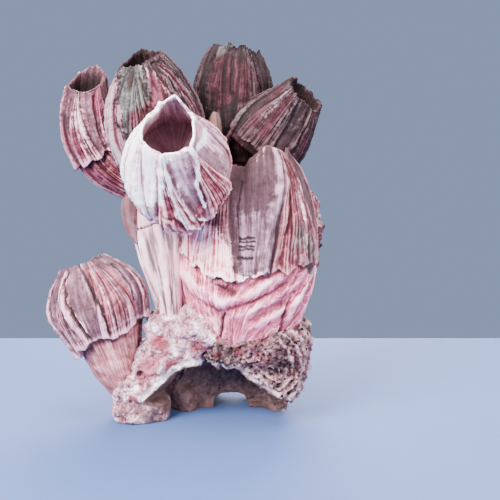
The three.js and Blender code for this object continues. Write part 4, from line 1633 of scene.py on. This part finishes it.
def porous_nodes():
    """Nodes that raise knobs on a crust, bore pits into it and strew it with grit."""
    tree = bpy.data.node_groups.new("porous_crust", "GeometryNodeTree")
    given = node_inputs(tree)
    tree.interface.new_socket("Dressed crust", in_out="OUTPUT", socket_type="NodeSocketGeometry")
    paint = Paint(tree)
    crust = weathered(paint, given)
    joined = paint.node("GeometryNodeJoinGeometry", None, {0: grit(paint, given, crust)})
    tree.links.new(crust.socket, joined.socket.node.inputs[0])
    soft = paint.node("GeometryNodeSetShadeSmooth", None, {0: joined})
    solid = paint.node("GeometryNodeRealizeInstances", None, {0: soft})
    finish = {0: solid, "Material": given["Finish"]}
    finished = paint.node("GeometryNodeSetMaterial", None, finish)
    result = tree.nodes.new("NodeGroupOutput")
    tree.links.new(finished.socket, result.inputs[0])
    return tree


def grown_by_nodes(piece, tree, settings):
    """Run a node tree over a piece with named inputs and keep its mesh."""
    modifier = piece.modifiers.new("growth", "NODES")
    modifier.node_group = tree
    for item in tree.interface.items_tree:
        if item.name in settings:
            modifier[item.identifier] = settings[item.name]
    keep_result(piece, modifier)


POROUS = porous_nodes()


def crust_piece(name, node, slot, lumps, cuts, layers, stains, skin):
    """A lumpy piece, cut level underneath and hollowed, then weathered."""
    piece = joined_lumps(name, lumps)
    finished_modifier(piece, "REMESH", mode="VOXEL", voxel_size=LUMP_VOXEL * MM)
    for cutter in [slab_below()] + cuts:
        cut = {"operation": "DIFFERENCE", "solver": "MANIFOLD", "object": cutter}
        finished_modifier(piece, "BOOLEAN", **cut)
        bpy.data.objects.remove(cutter)
    finished_modifier(piece, "REMESH", mode="VOXEL", voxel_size=CRUST_VOXEL * MM)
    mark_crust(piece, layers, stains)
    grown_by_nodes(piece, POROUS, skin)
    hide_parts(node)
    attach(piece, "root")


def crust_finish(name, tints, graininess):
    """Porous stone-like crust: grey-brown and cream grains, pink stains, cracks, and holes and vault
    in painted shade.
    """
    material, shader, paint = new_paint(name)
    where = paint.node("ShaderNodeTexCoord", None, None, "Object")
    cloud = paint.noise(where, 60.0, 5.0, 0.65)
    blot = paint.noise(where, 170.0, 4.0, 0.65)
    grain = paint.noise(where, 620.0, 4.0, 0.7)
    fine = paint.noise(where, 1800.0, 2.0, 0.6)
    vein = paint.noise(where, 85.0, 3.0, 0.6, 0.6)
    knob = paint.attribute("knob")
    grains = (grain - 0.5) * 1.6 + (knob - 0.5) * 1.8
    tone = 0.5 + grains * graininess + (blot - 0.5) * 1.2 + (cloud - 0.5) * 1.2
    skin = tone.between(0.2, 0.8).mix(tints["brown"], tints["cream"])
    skin = (cloud.between(0.5, 0.6) * 0.8).mix(skin, tints["pink"])
    skin = (blot.between(0.54, 0.66) * 0.85).mix(skin, tints["chalk"])
    skin = ((0.42 - grain).clamp() * 6.0 * graininess).clamp().mix(skin, tints["shade"])
    crack = 1.0 - (paint.math("ABSOLUTE", vein - 0.5) * 90.0).clamp()
    flaw = paint.noise(where, 240.0, 3.0, 0.6, 0.8)
    chip = 1.0 - (paint.math("ABSOLUTE", flaw - 0.5) * 40.0).clamp()
    skin = (crack * blot.between(0.4, 0.5) * 0.8).mix(skin, tints["shade"])
    skin = (chip * (0.7 - cloud).between(0.1, 0.3) * 0.7).mix(skin, tints["shade"])
    layer = paint.attribute("band")
    banded = (layer + (grain - 0.5) * 1.5).between(-0.5, 0.7).mix(tints["pink"], tints["chalk"])
    skin = (paint.math("ABSOLUTE", layer) * 0.6).mix(skin, banded)
    near = paint.attribute("stain")
    stain = (near + (blot - 0.5) * 1.6 + (grain - 0.5) * 0.5).between(0.3, 0.65)
    stain = stain * near.between(0.05, 0.25)
    skin = (stain * 0.9).mix(skin, tone.between(0.2, 0.9).mix(tints["blood"], tints["pink"]))
    # Under the arch, at the low rear of the vault and on the toe, the colour is grey-brown painted
    # shade.
    under = (tone + (cloud - 0.5) * 0.6).between(-0.2, 1.5).mix(tints["under_shade"], tints["under_shade_pale"])
    skin = paint.attribute("under").mix(skin, under)
    edge = (paint.attribute("edge") * (blot.between(0.36, 0.5) + 0.3)).clamp()
    skin = (edge * 0.8).mix(skin, tints["chalk"])
    # The holes are painted near black, as shade in the bores.
    skin = paint.attribute("hole_shade").between(0.15, 0.7).mix(skin, tints["hole_shade"])
    height = grain * 0.6 + fine * 0.3 - crack * 0.5 - chip * 0.3
    feed(paint, shader, skin, 0.85 + fine * 0.1, height, 0.8)
    shader.inputs["Specular IOR Level"].default_value = 0.25
    return material


CRUST_TONES = {
    "brown": (0.05, 0.026, 0.028, 1.0),
    "cream": (0.26, 0.15, 0.165, 1.0),
    "pink": (0.20, 0.055, 0.075, 1.0),
    "chalk": (0.60, 0.42, 0.46, 1.0),
    "shade": (0.025, 0.012, 0.014, 1.0),
    # The hole tone is painted shade in the bores.
    "hole_shade": (0.010, 0.004, 0.005, 1.0),
    "blood": (0.09, 0.012, 0.018, 1.0),
    # These two tones are painted shade under the vault and on the toe.
    "under_shade": (0.065, 0.034, 0.035, 1.0),
    "under_shade_pale": (0.20, 0.115, 0.115, 1.0),
}
FOOT_TONES = dict(CRUST_TONES)
FOOT_TONES.update(
    {
        "brown": (0.22, 0.09, 0.115, 1.0),
        "cream": (0.84, 0.56, 0.67, 1.0),
        "pink": (0.30, 0.045, 0.07, 1.0),
        "chalk": (0.97, 0.90, 0.95, 1.0),
        "shade": (0.04, 0.014, 0.018, 1.0),
    }
)
crust_paint = crust_finish("porous_crust", CRUST_TONES, 1.0)
foot_paint = crust_finish("bleached_foot", FOOT_TONES, 0.45)
CRUST_SKIN = {
    "Knob height": 0.0020,
    "Fold height": 0.0040,
    "Layer height": 0.0005,
    "Pit depth": 0.0010,
    "Pits per metre": 460.0,
    "Pit reach": 0.38,
    "Grains per area": 90000.0,
    "Grain size": 0.0005,
    "Seed": 7,
    "Finish": crust_paint,
}
BACK_SKIN = dict(CRUST_SKIN, Seed=11)
FOOT_SKIN = dict(CRUST_SKIN, Seed=5, Finish=foot_paint)
FOOT_SKIN.update(
    {
        "Knob height": 0.0005,
        "Fold height": 0.0055,
        "Pit depth": 0.0005,
        "Pit reach": 0.17,
        "Grains per area": 5000.0,
    }
)
CRUST_STAINS = [
    [8, 37, 5, 0.8],
    [20, 33, 4, 0.7],
    [31, 38, 4, 0.8],
    [12, 30, 3, 0.8],
    [42, 24, 4, 0.6],
]
FOOT_STAINS = [
    [-5, 22.5, 4.5, 1.1],
    [-14, 15, 3.5, 1.0],
    [-11, 34, 4, 0.8],
    [-21, 10, 3.5, 0.8],
    [4, 33, 4, 0.8],
    [-27, 3, 3, 0.7],
]
rear_gap = closed_grid("rear_gap", boxy_lump([17, 12, -1], [7.5, 30, 7.5]))
cuts = [vault_cutter(), rear_gap]
base = ("base_crust_stone", "base_crust", "crust")
crust_piece(*base, CRUST_LUMPS, cuts, 1.0, CRUST_STAINS, CRUST_SKIN)
crust_piece("back_crust_stone", "back_crust", "crust", BACK_LUMPS, [], 0.0, [], BACK_SKIN)
worm_hole = closed_grid("worm_hole", boxy_lump([-19.2, -9, 21.4], [1.0, 4, 1.0]))
cuts = [vault_cutter(), worm_hole]
crust_piece("left_foot_stone", "left_foot", "foot", FOOT_LUMPS, cuts, 0.0, FOOT_STAINS, FOOT_SKIN)
